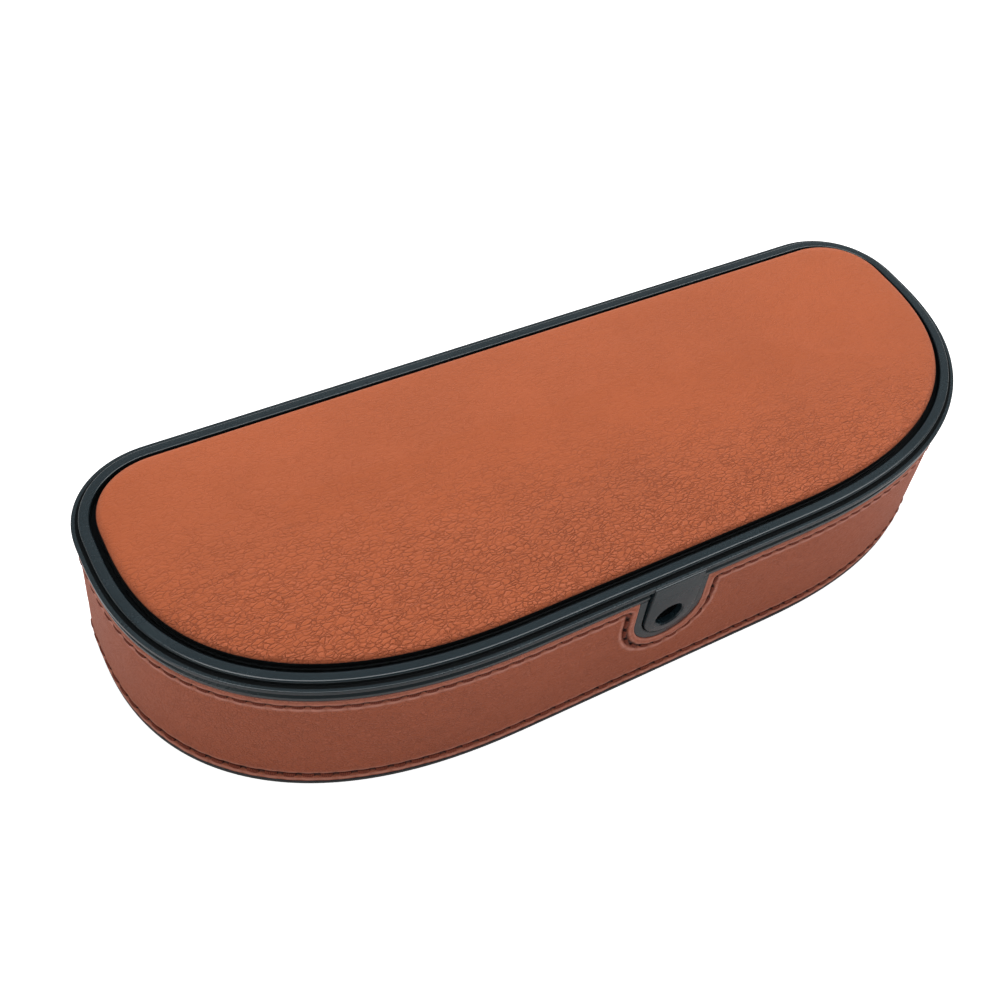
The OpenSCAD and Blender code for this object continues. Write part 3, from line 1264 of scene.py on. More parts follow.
@dataclass
class CasePart:
    """What every part of the case shares: its places, its materials and the fits between parts."""

    sizes: CaseSizes
    outline: PlanOutline
    wardrobe: Wardrobe
    tab_w: float = 12.0
    tab_t: float = 1.5
    play: float = 0.02
    hinge_x: float = 50.0
    knuckle_r: float = 1.6
    lid_knuckle_l: float = 10.0
    base_knuckle_l: float = 5.0
    swing: float = 0.3
    ring_count: int = 480

    @property
    def tab_bend_z(self) -> float:
        """Height of the middle of the latch tab's round end."""
        return self.sizes.tab_foot_z + self.tab_w / 2


# ---------------------------------------------------------------- the lid


@dataclass
class LidFrame(CasePart):
    """The lid's plastic ring with its bead, groove, latch tab and hinge arms."""

    ring_w: float = 3.5
    groove_w: float = 1.1
    lip_h: float = 1.25
    bead_h: float = 1.1
    flange_h: float = 1.15
    flange_in: float = 8.0
    groove_floor: float = 0.4
    tab_bevel: float = 0.28
    hole_flare: float = 0.32
    undercut: float = 0.5
    pin_bore_r: float = 0.66

    def section(self) -> list[Point2]:
        """Rounded section of the ring, from the flange's foot outwards and back.

        Returns:
            Offset and height of each point.
        """
        foot = self.sizes.lid_foot
        lip, bead = foot + self.lip_h, foot + self.lip_h + self.bead_h
        ledge = foot + self.flange_h
        panel = -self.ring_w - self.groove_w
        corners = [
            (-self.flange_in, foot, 0.15),
            (-self.undercut, foot, 0.08),
            (0.0, foot + self.undercut * 0.6, 0.12),
            (0.0, lip, 0.2),
            (-0.75, lip - 0.03, 0.0),
            (-1.4, lip - 0.03, 0.08),
            (-1.48, bead, 0.5),
            (-self.ring_w, bead, 0.3),
            (-self.ring_w, foot + self.groove_floor, 0.1),
            (panel, foot + self.groove_floor, 0.1),
            (panel, ledge, 0.1),
            (-self.flange_in, ledge, 0.15),
        ]
        return rounded(corners)

    def tab(self) -> Piece:
        """The latch tab with its round end and softened front edge.

        Returns:
            The tab without its hole.
        """
        sizes = self.sizes
        radius = self.tab_w / 2 - self.play
        top = sizes.lid_foot + self.lip_h - 0.2
        section = tongue(radius, self.tab_bend_z, top)
        face = sizes.tab_face_y
        return prism("tab", section, Along.Y, face, face + self.tab_t, self.tab_bevel)

    def hole_cutter(self) -> Piece:
        """A cutter for the tab's hole, flared at the front.

        Returns:
            The cutter.
        """
        sizes = self.sizes
        face, flare = sizes.tab_face_y, self.hole_flare
        bar = barrel("hole", (0, face, sizes.hole_z), sizes.hole_r, 6, Along.Y, sides=64)
        with editing(bar) as mesh:
            bpy.ops.mesh.select_all(action="SELECT")
            bpy.ops.mesh.bisect(plane_co=(0, (face + flare) * MM, 0), plane_no=(0, 1, 0))
            middle = Vector((0, 0, sizes.hole_z * MM))
            reach = (face - 3) * MM
            for vertex in mesh.verts:
                if vertex.co.y < (face + flare) * MM - 1e-6:
                    spoke = vertex.co - middle
                    spoke.y = 0
                    grown = spoke * ((sizes.hole_r + flare + 3) / sizes.hole_r)
                    vertex.co = middle + grown + Vector((0, reach, 0))
        return bar

    def arm(self, side: int) -> Piece:
        """One hinge arm with its knuckle.

        Args:
            side: -1 for the left hinge and 1 for the right one.

        Returns:
            The arm, ready to be added to the ring.
        """
        sizes, r = self.sizes, self.knuckle_r
        y, z = sizes.hinge_y, sizes.hinge_z
        top = sizes.lid_foot + self.lip_h - 0.5
        back = self.outline.width / 2
        corners = [(y - r, z, 0.0), (y + r, z, 0.0), (back + 0.35, top, 0.35), (back - 1.4, top, 0.0)]
        middle, half = side * self.hinge_x, self.lid_knuckle_l / 2
        arm = prism("arm", rounded(corners), Along.X, middle - half, middle + half)
        work(arm, [barrel("knuckle", (middle, y, z), r, self.lid_knuckle_l, Along.X)], Cut.ADD)
        return arm

    def cutters(self, side: int) -> list[Piece]:
        """What is cut away round one hinge and one strike plate.

        Args:
            side: -1 for the left side and 1 for the right one.

        Returns:
            The cutters.
        """
        sizes, middle = self.sizes, side * self.hinge_x
        y, z = sizes.hinge_y, sizes.hinge_z
        reach = self.lid_knuckle_l / 2 + self.swing + self.base_knuckle_l / 2
        cut = [barrel("bore", (middle, y, z), self.pin_bore_r, self.lid_knuckle_l + 1, Along.X, sides=32)]
        for end in (-1, 1):
            place = (middle + end * reach, y, z)
            length = self.base_knuckle_l + 2 * self.swing - 0.05
            cut.append(barrel("sweep", place, self.knuckle_r + self.swing, length, Along.X))
        plate = "strike_plate_left" if side < 0 else "strike_plate_right"
        low, high = (Vector(c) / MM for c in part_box(plate))
        cut.append(block("seat", low - Vector((0.05, 0.05, 1)), high + Vector((0.05, 0.05, 0.05))))
        return cut

    def build(self) -> list[Piece]:
        """Builds and dresses the lid frame and its latch tab.

        Returns:
            The frame and the tab.
        """
        sizes = self.sizes
        piece = swept("lid_frame_moulding", self.outline, self.section(), self.ring_count)
        work(piece, [self.arm(-1), self.arm(1)], Cut.ADD)
        work(piece, self.cutters(-1) + self.cutters(1), Cut.REMOVE)
        clean(piece)
        soften(piece)
        dress(piece, self.wardrobe.frame_plastic, Body.LID, ["lid_frame"])
        low, lip = sizes.lid_foot + 0.05, sizes.lid_foot + self.lip_h
        high = lip + self.bead_h - 0.35

        def in_shade(place: Vector, inward: float) -> bool:
            """Tells whether a face lies in the panel's groove, beside the bead or under the ring.

            Args:
                place: The face's middle.
                inward: Its distance from the outline.

            Returns:
                True if it gets the dull black of painted shade.
            """
            groove = inward > self.ring_w - 0.06 and low < place.z < high
            corner = 0.8 < inward < 1.6 and lip - 0.06 < place.z < lip + 0.55
            return groove or corner or place.z < sizes.lid_foot + self.undercut * 0.55

        # Painted shade: the groove, the corner beside the bead and the ring's underside turn dull black.
        paint_shade_black(piece, self.wardrobe.groove, self.outline, in_shade)
        tab = rename(self.tab(), "latch_tab_moulding")
        work(tab, [self.hole_cutter()], Cut.REMOVE)
        clean(tab)
        soften(tab)
        dress(tab, self.wardrobe.frame_plastic, Body.LID, ["latch_tab"])
        return [piece, tab]


@dataclass
class LidUpholstery(CasePart):
    """The padded leather panel that fills the lid frame."""

    inset: float = 4.58
    shift: Point2 = (0.2, 0.22)
    turn_in: float = 0.9
    edge_z: float = 35.1
    roll_h: float = 1.0
    roll_l: float = 0.72
    crown_h: float = 1.5
    crown_l: float = 7.5
    board_h: float = 1.15
    steps: tuple[float, ...] = (
        *(0.0, 0.04, 0.1, 0.18, 0.28, 0.4, 0.56, 0.75, 1.0, 1.3),
        *(1.7, 2.2, 2.9, 3.8, 4.9, 6.2, 7.8, 9.7, 12.0),
    )
    count: int = 560
    draft_count: int = 150
    pressure: float = 4.0
    frames: int = 20
    swell: float = 0.16

    def height(self, inward: float) -> float:
        """Height of the leather at a distance inwards from its edge."""
        roll = self.roll_h * (1 - math.exp(-inward / self.roll_l))
        return self.edge_z + roll + self.crown_h * (1 - math.exp(-inward / self.crown_l))

    def rings(self, count: int) -> list[np.ndarray]:
        """Rings of the cover, from its turned-in foot over the rolled edge to the middle line.

        Args:
            count: Number of places round the outline.

        Returns:
            The rings in millimetres.
        """
        places = self.outline.even(count)
        edge, foot = -self.inset, self.sizes.panel_foot
        board_top = foot + self.board_h
        inner = edge - self.turn_in
        section = [
            (inner, board_top),
            (inner, foot),
            (edge - 0.25, foot),
            (edge - 0.05, foot + 0.12),
            (edge, foot + 0.45),
            (edge, foot + 0.9),
            (edge, self.edge_z - 0.12),
        ]
        rings = [self.outline.ring(places, d, z) for d, z in section]
        for step in self.steps:
            rings.append(self.outline.ring(places, edge - step, self.height(step)))
        last, reach = self.steps[-1], self.outline.width / 2 - self.inset
        for part in np.linspace(0, 1, 15)[1:]:
            height = self.height(last + part * (reach - last))
            rings.append(self.outline.toward_spine(places, edge - last, height, part))
        return [ring + [*self.shift, 0.0] for ring in rings]

    def inflated(self) -> tuple[KDTree, list[Vector]]:
        """Blows up a coarser copy of the cover as cloth, held at its rolled edge.

        Returns:
            A tree of the copy's points and how far each one moved, in metres.
        """
        draft = skin("pad_draft", self.rings(self.draft_count), closed=False)
        clean(draft, merge=MERGE)
        start = [vertex.co.copy() for vertex in draft.data.vertices]
        held = draft.vertex_groups.new(name="held")
        roll_top = self.height(1.2) * MM
        held.add([index for index, place in enumerate(start) if place.z < roll_top], 1.0, "REPLACE")
        cloth = draft.modifiers.new("padding", "CLOTH")
        cloth.settings.quality = 6
        cloth.settings.mass = 0.3
        cloth.settings.tension_stiffness = 60
        cloth.settings.compression_stiffness = 60
        cloth.settings.bending_stiffness = 2
        cloth.settings.use_pressure = True
        cloth.settings.uniform_pressure_force = self.pressure
        cloth.settings.vertex_group_mass = "held"
        cloth.settings.effector_weights.gravity = 0
        cloth.point_cache.frame_start = 1
        cloth.point_cache.frame_end = self.frames
        scene = bpy.context.scene
        for number in range(1, self.frames + 1):
            scene.frame_set(number)
        finished = draft.evaluated_get(bpy.context.evaluated_depsgraph_get()).to_mesh()
        moved = [finished.vertices[index].co - place for index, place in enumerate(start)]
        bpy.data.objects.remove(draft)
        scene.frame_set(1)
        return tree_of(start), moved

    def swell_out(self, piece: Piece) -> None:
        """Gives the cover the swelling of its blown-up copy, up to a small cap.

        Args:
            piece: The plain cover.
        """
        tree, moved = self.inflated()
        cap = self.swell * MM
        most = 0.0
        for vertex in piece.data.vertices:
            if vertex.co.z < self.edge_z * MM:
                continue
            near = tree.find_n(vertex.co, 4)
            shares = [1 / (away + 0.2 * MM) for _, _, away in near]
            rise = sum(moved[index].z * share for (_, index, _), share in zip(near, shares)) / sum(shares)
            most = max(most, rise)
            vertex.co.z += cap * math.tanh(rise / cap)
        LOG.info("lid cover: the cloth rose by up to %.2f mm before its cap", most / MM)

    def build(self) -> Piece:
        """Builds and dresses the padded cover.

        Returns:
            The finished cover.
        """
        piece = skin("lid_leather_cover", self.rings(self.count), closed=False)
        clean(piece, merge=MERGE)
        self.swell_out(piece)
        soften(piece, 60)
        dress(piece, self.wardrobe.lid_leather, Body.LID, ["lid_leather", "lid_pad"])
        # Painted shade: the cover's edge wall down in the groove turns dull black.
        wall_top = self.edge_z + 0.12
        paint_shade_black(piece, self.wardrobe.groove, self.outline, lambda place, inward: place.z < wall_top)
        return piece


# ---------------------------------------------------------------- the base


@dataclass
class BaseRim(CasePart):
    """The base's plastic rim with the pocket for the latch tab and the hinge knuckles."""

    out_d: float = -0.26
    in_d: float = -4.3
    skirt_d: float = -3.15
    skirt_h: float = 3.0
    tab_gap: float = 0.3
    border: float = 1.9
    plate_t: float = 0.9
    face_y: float = -35.95
    lean: float = 0.6
    step: float = 0.45
    relief_r: float = 3.5
    relief_t: float = 0.5
    pin_bore_r: float = 0.62

    def section(self) -> list[Point2]:
        """Rounded section of the rim, from the foot of its skirt outwards and back.

        Returns:
            Offset and height of each point.
        """
        foot, top = self.sizes.band_top + 0.05, self.sizes.rim_top
        corners = [
            (self.in_d, foot - self.skirt_h, 0.2),
            (self.skirt_d, foot - self.skirt_h, 0.2),
            (self.skirt_d, foot, 0.0),
            (self.out_d - 0.24, foot, 0.12),
            (self.out_d - 0.04, foot + 0.7, 0.3),
            (self.out_d, foot + 1.45, 0.16),
            (self.out_d - self.step, foot + 1.85, 0.1),
            (self.out_d - self.step, top, 0.06),
            (self.in_d, top, 0.25),
        ]
        return rounded(corners)

    def knuckle(self, side: int, end: int) -> Piece:
        """One knuckle with the web that joins it to the rim.

        Args:
            side: -1 for the left hinge and 1 for the right one.
            end: -1 for its left knuckle and 1 for its right one.

        Returns:
            The knuckle, ready to be added to the rim.
        """
        sizes, r = self.sizes, self.knuckle_r
        y, z = sizes.hinge_y, sizes.hinge_z
        foot, root = self.sizes.band_top + 0.05, self.outline.width / 2 - 2.4
        notch = z - r - self.swing - 0.1
        web_back = self.outline.width / 2 - 1.4
        web = [
            (root, foot),
            (web_back, foot),
            (web_back, notch),
            (y - 1.0, notch),
            (y, z - r),
            (y, z + 0.6),
            (root, z + 0.6),
        ]
        middle = side * self.hinge_x + end * (self.lid_knuckle_l / 2 + self.swing + self.base_knuckle_l / 2)
        half = self.base_knuckle_l / 2
        piece = prism("web", web, Along.X, middle - half, middle + half)
        work(piece, [barrel("knuckle", (middle, y, z), r, self.base_knuckle_l, Along.X)], Cut.ADD)
        return piece

    def cutters(self, side: int) -> list[Piece]:
        """What is cut away round one hinge and one magnet.

        Args:
            side: -1 for the left side and 1 for the right one.

        Returns:
            The cutters.
        """
        sizes, middle = self.sizes, side * self.hinge_x
        y, z = sizes.hinge_y, sizes.hinge_z
        sweep_r = self.knuckle_r + self.swing
        station = self.lid_knuckle_l + 2 * self.swing
        low, high = (Vector(c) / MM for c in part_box("magnet_left" if side < 0 else "magnet_right"))
        left, right = middle - station / 2, middle + station / 2
        bore_l = station + 2 * self.base_knuckle_l + 1
        return [
            barrel("sweep", (middle, y, z), sweep_r, station, Along.X),
            block("clear", (left, y - sweep_r, z), (right, y + sweep_r, z + 9)),
            barrel("bore", (middle, y, z), self.pin_bore_r, bore_l, Along.X, sides=32),
            block("seat", low - Vector((0.05, 0.05, 0.05)), high + Vector((0.05, 0.05, 1))),
        ]

    def build(self) -> Piece:
        """Builds and dresses the rim.

        Returns:
            The finished rim.
        """
        sizes = self.sizes
        pocket_r = self.tab_w / 2 + self.tab_gap + self.play
        middle = self.tab_bend_z
        floor_y = sizes.tab_face_y + self.tab_t + self.tab_gap
        top = sizes.band_top + 0.1
        plate = tongue(pocket_r + self.border, middle, top)
        drop = prism("drop", plate, Along.Y, self.face_y, floor_y + self.plate_t, bevel=0.2)
        pocket = prism("pocket", tongue(pocket_r, middle, sizes.rim_top + 1), Along.Y, floor_y, -38)
        flare = tongue(pocket_r + 0.16, middle, sizes.rim_top + 1)
        lead_in = prism("lead_in", flare, Along.Y, self.face_y + 0.16, -38, bevel=0.15)
        foot_z = middle - pocket_r - self.border
        for tool in (drop, lead_in):
            for vertex in tool.data.vertices:
                if vertex.co.y < (self.face_y + 0.5) * MM:
                    vertex.co.y -= self.lean * MM * (top - vertex.co.z / MM) / (top - foot_z)
        relief_y = floor_y + self.relief_t
        relief = barrel("relief", (0, relief_y - 2, sizes.hole_z), self.relief_r, 4, Along.Y)
        piece = swept("base_rim_moulding", self.outline, self.section(), self.ring_count)
        knuckles = [self.knuckle(side, end) for side in (-1, 1) for end in (-1, 1)]
        work(piece, [drop, *knuckles], Cut.ADD)
        work(piece, [pocket, lead_in, relief, *self.cutters(-1), *self.cutters(1)], Cut.REMOVE)
        clean(piece)
        soften(piece)
        dress(piece, self.wardrobe.rim_plastic, Body.BASE, ["base_rim"])

        def in_shade(place: Vector, inward: float) -> bool:
            """Tells whether a face lies in the pocket or under the lid's ring.

            Args:
                place: The face's middle.
                inward: Its distance from the outline.

            Returns:
                True if it gets the dull black of painted shade.
            """
            beside = math.hypot(place.x, max(middle - place.z, 0)) < pocket_r + 0.02
            face_y = self.face_y - self.lean * (top - place.z) / (top - foot_z)
            pocketed = beside and face_y + 0.3 < place.y < relief_y + 0.02
            recess = place.z > sizes.band_top + 1.95 and 0.3 - self.out_d < inward < 1.2
            return pocketed or (recess and place.y < 30)

        # Painted shade: the tab pocket and the recess under the lid's ring turn dull black.
        paint_shade_black(piece, self.wardrobe.groove, self.outline, in_shade)
        return piece


@dataclass
class StitchRoute:
    """A closed line of stitches on the leather band, in places along the outline and heights."""

    name: str
    points: np.ndarray
    pitch: float = 3.5
    along: np.ndarray = field(init=False)
    stitches: int = field(init=False)

    def __post_init__(self) -> None:
        """Measures the line and fits a whole number of stitches to it."""
        closed = np.vstack([self.points, self.points[:1] + [self.points[-1, 0] - self.points[0, 0], 0]])
        steps = np.linalg.norm(np.diff(closed, axis=0), axis=1)
        self.along = np.concatenate([[0], np.cumsum(steps)])[:-1]
        self.stitches = round(self.along[-1] / self.pitch)
        self.pitch = self.along[-1] / self.stitches

    def at(self, distance: float) -> np.ndarray:
        """Place and height at a distance along the line."""
        return np.array([np.interp(distance, self.along, self.points[:, k]) for k in (0, 1)])


@dataclass
class BaseBand(CasePart):
    """The leather wrapped round the base, with its two rows of stitches."""

    top_d: float = -0.5
    foot_d: float = 0.93
    leather_t: float = 0.9
    upper_drop: float = 1.85
    lower_rise: float = 2.2
    cut_r: float = 8.25
    seam_r: float = 10.4
    seam_corner: float = 0.8
    margin_w: float = 2.2
    margin_swell: float = 0.3
    foot_swell: float = 0.15
    # Strength and width of the painted highlight along the leather's top edge.
    edge_highlight: float = 0.65
    edge_highlight_w: float = 0.45
    seam_depth: float = 0.34
    seam_w: float = 0.65
    hole_depth: float = 0.14
    edge_r: float = 0.42
    stitch_l: float = 2.8
    stitch_r: float = 0.42
    notch_l: float = 20.7
    notch_z: float = 28.95

    def offset(self, height: np.ndarray) -> np.ndarray:
        """Offset of the leaning wall at a height."""
        rise = self.sizes.band_top - self.sizes.band_foot
        return self.top_d + (self.foot_d - self.top_d) * (self.sizes.band_top - height) / rise

    def routes(self) -> tuple[StitchRoute, StitchRoute]:
        """The upper line, which dips round the latch tab, and the lower line.

        Returns:
            Both lines of stitches.
        """
        girth, r, c = self.outline.girth(), self.seam_r, self.seam_corner
        upper, middle = self.sizes.band_top - self.upper_drop, self.tab_bend_z
        step = 0.1
        run = np.arange(r + c, girth - r - c, step)
        line = [np.column_stack([run, np.full(len(run), upper)])]
        turn = np.linspace(0, math.pi / 2, 12)
        line.append(np.column_stack([girth - r - c + c * np.sin(turn), upper - c + c * np.cos(turn)]))
        fall = np.arange(upper - c, middle, -step)
        line.append(np.column_stack([np.full(len(fall), girth - r), fall]))
        bend = np.linspace(math.pi, math.tau, int(math.pi * r / step))
        line.append(np.column_stack([girth + r * np.cos(bend), middle + r * np.sin(bend)]))
        line.append(np.column_stack([np.full(len(fall), girth + r), fall[::-1]]))
        line.append(np.column_stack([girth + r + c - c * np.cos(turn), upper - c + c * np.sin(turn)]))
        whole = np.arange(0, girth, step)
        lower = np.full(len(whole), self.sizes.band_foot + self.lower_rise)
        return (
            StitchRoute("upper", np.vstack(line)),
            StitchRoute("lower", np.column_stack([whole, lower])),
        )

    def columns(self) -> np.ndarray:
        """Places of the mesh's columns, closer together round the latch tab.

        Returns:
            Places along the outline.
        """
        girth, close = self.outline.girth(), 14.0
        near = np.linspace(-close, close, 86)
        far = np.linspace(close, girth - close, 600)[1:-1]
        return np.concatenate([near, far])

    def rows(self) -> np.ndarray:
        """Heights of the mesh's rows, closer together along the stitching.

        Returns:
            The heights, from the foot up.
        """
        foot, top = self.sizes.band_foot, self.sizes.band_top
        lower, upper = foot + self.lower_rise, top - self.upper_drop
        marks = [foot + 0.5, lower - 1.5, lower + 1.6, 11.0, upper - 1.6, top - 0.4]
        counts = [2, 16, 10, 42, 15]
        spans = [np.linspace(a, b, n, endpoint=False) for a, b, n in zip(marks, marks[1:], counts)]
        return np.concatenate([*spans, [marks[-1]]])

    def edge_distance(self, places: np.ndarray, heights: np.ndarray) -> np.ndarray:
        """Distance from the leather's free edge along the top and round the tab opening.

        Args:
            places: Places along the outline.
            heights: Heights.

        Returns:
            The distances.
        """
        girth, middle = self.outline.girth(), self.tab_bend_z
        x = np.mod(places + girth / 2, girth) - girth / 2
        to_cut = np.hypot(x, np.maximum(middle - heights, 0)) - self.cut_r
        return np.minimum(self.sizes.band_top - heights, np.maximum(to_cut, 0))

    def relief(
        self, places: np.ndarray, heights: np.ndarray, routes: Sequence[StitchRoute]
    ) -> tuple[np.ndarray, np.ndarray, np.ndarray]:
        """How far the soft leather stands out of the plain wall, and how its seams are shaded.

        Args:
            places: Places along the outline.
            heights: Heights.
            routes: The lines of stitches.

        Returns:
            Offsets in millimetres, the painted shade in the seams and holes, and the painted highlight beside the
            seams and along the top edge.
        """
        girth, sizes = self.outline.girth(), self.sizes
        to_edge = self.edge_distance(places, heights)
        in_margin = np.clip(to_edge / self.margin_w, 0, 1)
        out = self.margin_swell * np.sin(math.pi * in_margin) * (to_edge < self.margin_w)
        low = heights - sizes.band_foot
        in_foot = np.clip(low / self.lower_rise, 0, 1)
        out += self.foot_swell * np.sin(math.pi * in_foot) * (low < self.lower_rise)
        shade = np.zeros(len(places))
        # Painted highlight along the leather's top edge, where its roll catches the light.
        rub = self.edge_highlight * np.exp(-((to_edge / self.edge_highlight_w) ** 2))
        for route in routes:
            tree = tree_of([(place % girth, height) for place, height in route.points])
            for index in range(len(places)):
                found, near, away = tree.find((places[index] % girth, heights[index], 0))
                if away > 3:
                    continue
                phase = route.along[near] / route.pitch
                from_hole = abs(phase - round(phase)) * route.pitch
                over = heights[index] - found[1]
                seam = math.exp(-((away / self.seam_w) ** 2))
                hole = math.exp(-((from_hole / 0.5) ** 2))
                out[index] -= (self.seam_depth + self.hole_depth * hole) * seam
                pull = math.exp(-((away / 1.5) ** 2)) - seam
                out[index] += 0.08 * pull * math.cos(math.tau * (phase - 0.5))
                # Painted shadow above each seam, as if lit from above, and painted shade in the stitch holes.
                lit = away - 0.5 * max(min(over, 0.5), -0.5)
                dark = math.exp(-((max(lit - 0.3, 0) / 0.3) ** 2))
                shade[index] = max(shade[index], 0.93 * dark, 0.95 * hole * math.exp(-((away / 0.55) ** 2)))
                # Painted highlight on the lit lips beside each seam, stronger below it.
                rubbed = math.exp(-(((away - 1.1) / 0.35) ** 2))
                rub[index] = max(rub[index], (1.0 if over < 0 else 0.6) * rubbed * (1 - 0.5 * hole))
        x = np.mod(places + girth / 2, girth) - girth / 2
        for index in range(len(places)):
            point = Vector((x[index] / 22, heights[index] / 13, 0.3 * (places[index] > girth / 2)))
            out[index] += 0.1 * noise.noise(point) + 0.05 * noise.noise(point * 3.1)
        return out, shade, rub

    def leather(self, routes: Sequence[StitchRoute]) -> Piece:
        """The wrapped leather with its seams, swollen margins, tab opening and hinge notches.

        Args:
            routes: The lines of stitches.

        Returns:
            The leather.
        """
        sizes = self.sizes
        columns, rows = self.columns(), self.rows()
        foot, top = sizes.band_foot, sizes.band_top

        def ring(height: float, inward: float) -> np.ndarray:
            """One ring of the wall, set back from its face.

            Args:
                height: Its height.
                inward: How far it is set back.

            Returns:
                One row of X, Y and Z for each column.
            """
            points, normals = self.outline.at(columns)
            offset = float(self.offset(height)) - inward
            heights = np.full(len(columns), height)
            return np.column_stack([points + normals * offset, heights])

        rings = [ring(foot, 0.45), ring(foot + 0.12, 0.16), ring(foot + 0.28, 0.05)]
        rings += [ring(height, 0.0) for height in rows]
        rings += [ring(top - 0.2, 0.08), ring(top - 0.06, 0.22), ring(top, 0.42)]
        rings += [ring(top, self.leather_t), ring(foot, self.leather_t)]
        piece = skin("base_leather_band", rings, closed=True)
        middle = self.tab_bend_z
        section = tongue(self.cut_r, middle, top + 1, steps=72)
        cut = [prism("opening", section, Along.Y, -40, -25)]
        for side in (-1, 1):
            low = (side * self.hinge_x - self.notch_l / 2, 20, self.notch_z)
            high = (side * self.hinge_x + self.notch_l / 2, 45, top + 2)
            cut.append(block("notch", low, high))
        work(piece, cut, Cut.REMOVE)
        clean(piece)
        self.press_seams(piece, routes)
        return piece

    def press_seams(self, piece: Piece, routes: Sequence[StitchRoute]) -> None:
        """Moves the leather's face in and out along its seams, and stores their painted shade and painted
        highlight as attributes.

        Args:
            piece: The plain wrapped leather.
            routes: The lines of stitches.
        """
        mesh, sizes = piece.data, self.sizes
        points, normals = self.outline.at(self.outline.even(2400))
        tree = tree_of(points)
        step = self.outline.girth() / len(points)
        places, heights = np.zeros(len(mesh.vertices)), np.zeros(len(mesh.vertices))
        outward = np.zeros((len(mesh.vertices), 3))
        face, skin_side = np.zeros(len(mesh.vertices)), np.zeros(len(mesh.vertices))
        for index, vertex in enumerate(mesh.vertices):
            x, y, z = vertex.co / MM
            near = tree.find((x, y, 0))[1]
            tangent = np.array([-normals[near, 1], normals[near, 0]])
            slide = float(np.dot(np.array([x, y]) - points[near], tangent))
            places[index], heights[index] = near * step + slide, z
            outward[index, :2] = normals[near]
            depth = float(self.offset(z)) - float(np.dot(np.array([x, y]) - points[near], normals[near]))
            inside = sizes.band_foot + 0.4 < z < sizes.band_top - 0.3
            face[index] = 1.0 if depth < 0.03 and inside else 0.0
            skin_side[index] = 1.0 if depth < 0.6 else 0.0
        out, shade, rub = self.relief(places, heights, routes)
        for index, vertex in enumerate(mesh.vertices):
            vertex.co += Vector(outward[index]) * (out[index] * face[index] * MM)
        # The painted shade and painted highlight, stored for the leather's colour.
        for name, values in (("seam_shade", shade), ("seam_highlight", rub)):
            layer = mesh.attributes.new(name, "FLOAT", "POINT")
            layer.data.foreach_set("value", (values * skin_side).astype(np.float32))

    def turned_edge(self) -> Piece:
        """The leather's turned edge round the tab opening: a soft round roll.

        Returns:
            The roll.
        """
        sizes, r = self.sizes, self.edge_r
        middle, reach = self.tab_bend_z, self.cut_r + self.edge_r * 0.75
        top = sizes.band_top - 0.35
        bend = np.linspace(math.pi, math.tau, 60)
        rise = np.linspace(middle, top, 14)[1:]
        x = np.concatenate([np.full(len(rise), -reach), reach * np.cos(bend), np.full(len(rise), reach)])
        z = np.concatenate([rise[::-1], middle + reach * np.sin(bend), rise])
        way = np.gradient(np.column_stack([x, z]), axis=0)
        way /= np.linalg.norm(way, axis=1)[:, None]
        rings = []
        for px, pz, (wx, wz) in zip(x, z, way):
            face = -self.outline.width / 2 - self.offset(pz) - 0.05
            turns = np.arange(12) * math.tau / 12
            across = r * np.cos(turns)
            rings.append(
                np.column_stack([px - wz * across, face + r - r * np.sin(turns), pz + wx * across])
            )
        return skin("turned_edge", rings, closed=False)

    def stitch(self) -> Piece:
        """One stitch at the origin, along X, with its ends bent down into the leather.

        Returns:
            The stitch, with its length and turn as its UV map.
        """
        sides, half = 8, self.stitch_l / 2
        marks = [(-1.0, 0.35), (-0.9, 0.75), (-0.6, 0.98), (0.0, 1.0), (0.6, 0.98), (0.9, 0.75), (1.0, 0.35)]
        turns = np.arange(sides) * math.tau / sides
        rings = []
        for part, girth in marks:
            radius = self.stitch_r * girth
            sink = -0.3 * abs(part) ** 4
            sag = -0.1 * (1 - part * part)
            rings.append(
                np.column_stack(
                    [np.full(sides, part * half), radius * np.cos(turns) + sag, radius * np.sin(turns) + sink]
                )
            )
        piece = skin("stitch", rings, closed=False)
        layer = piece.data.uv_layers.new(name="thread")
        for loop in piece.data.loops:
            point = piece.data.vertices[loop.vertex_index].co / MM
            turn = math.atan2(point.z, point.y) / math.tau
            layer.data[loop.index].uv = (point.x / self.stitch_l + 0.5, turn)
        return piece

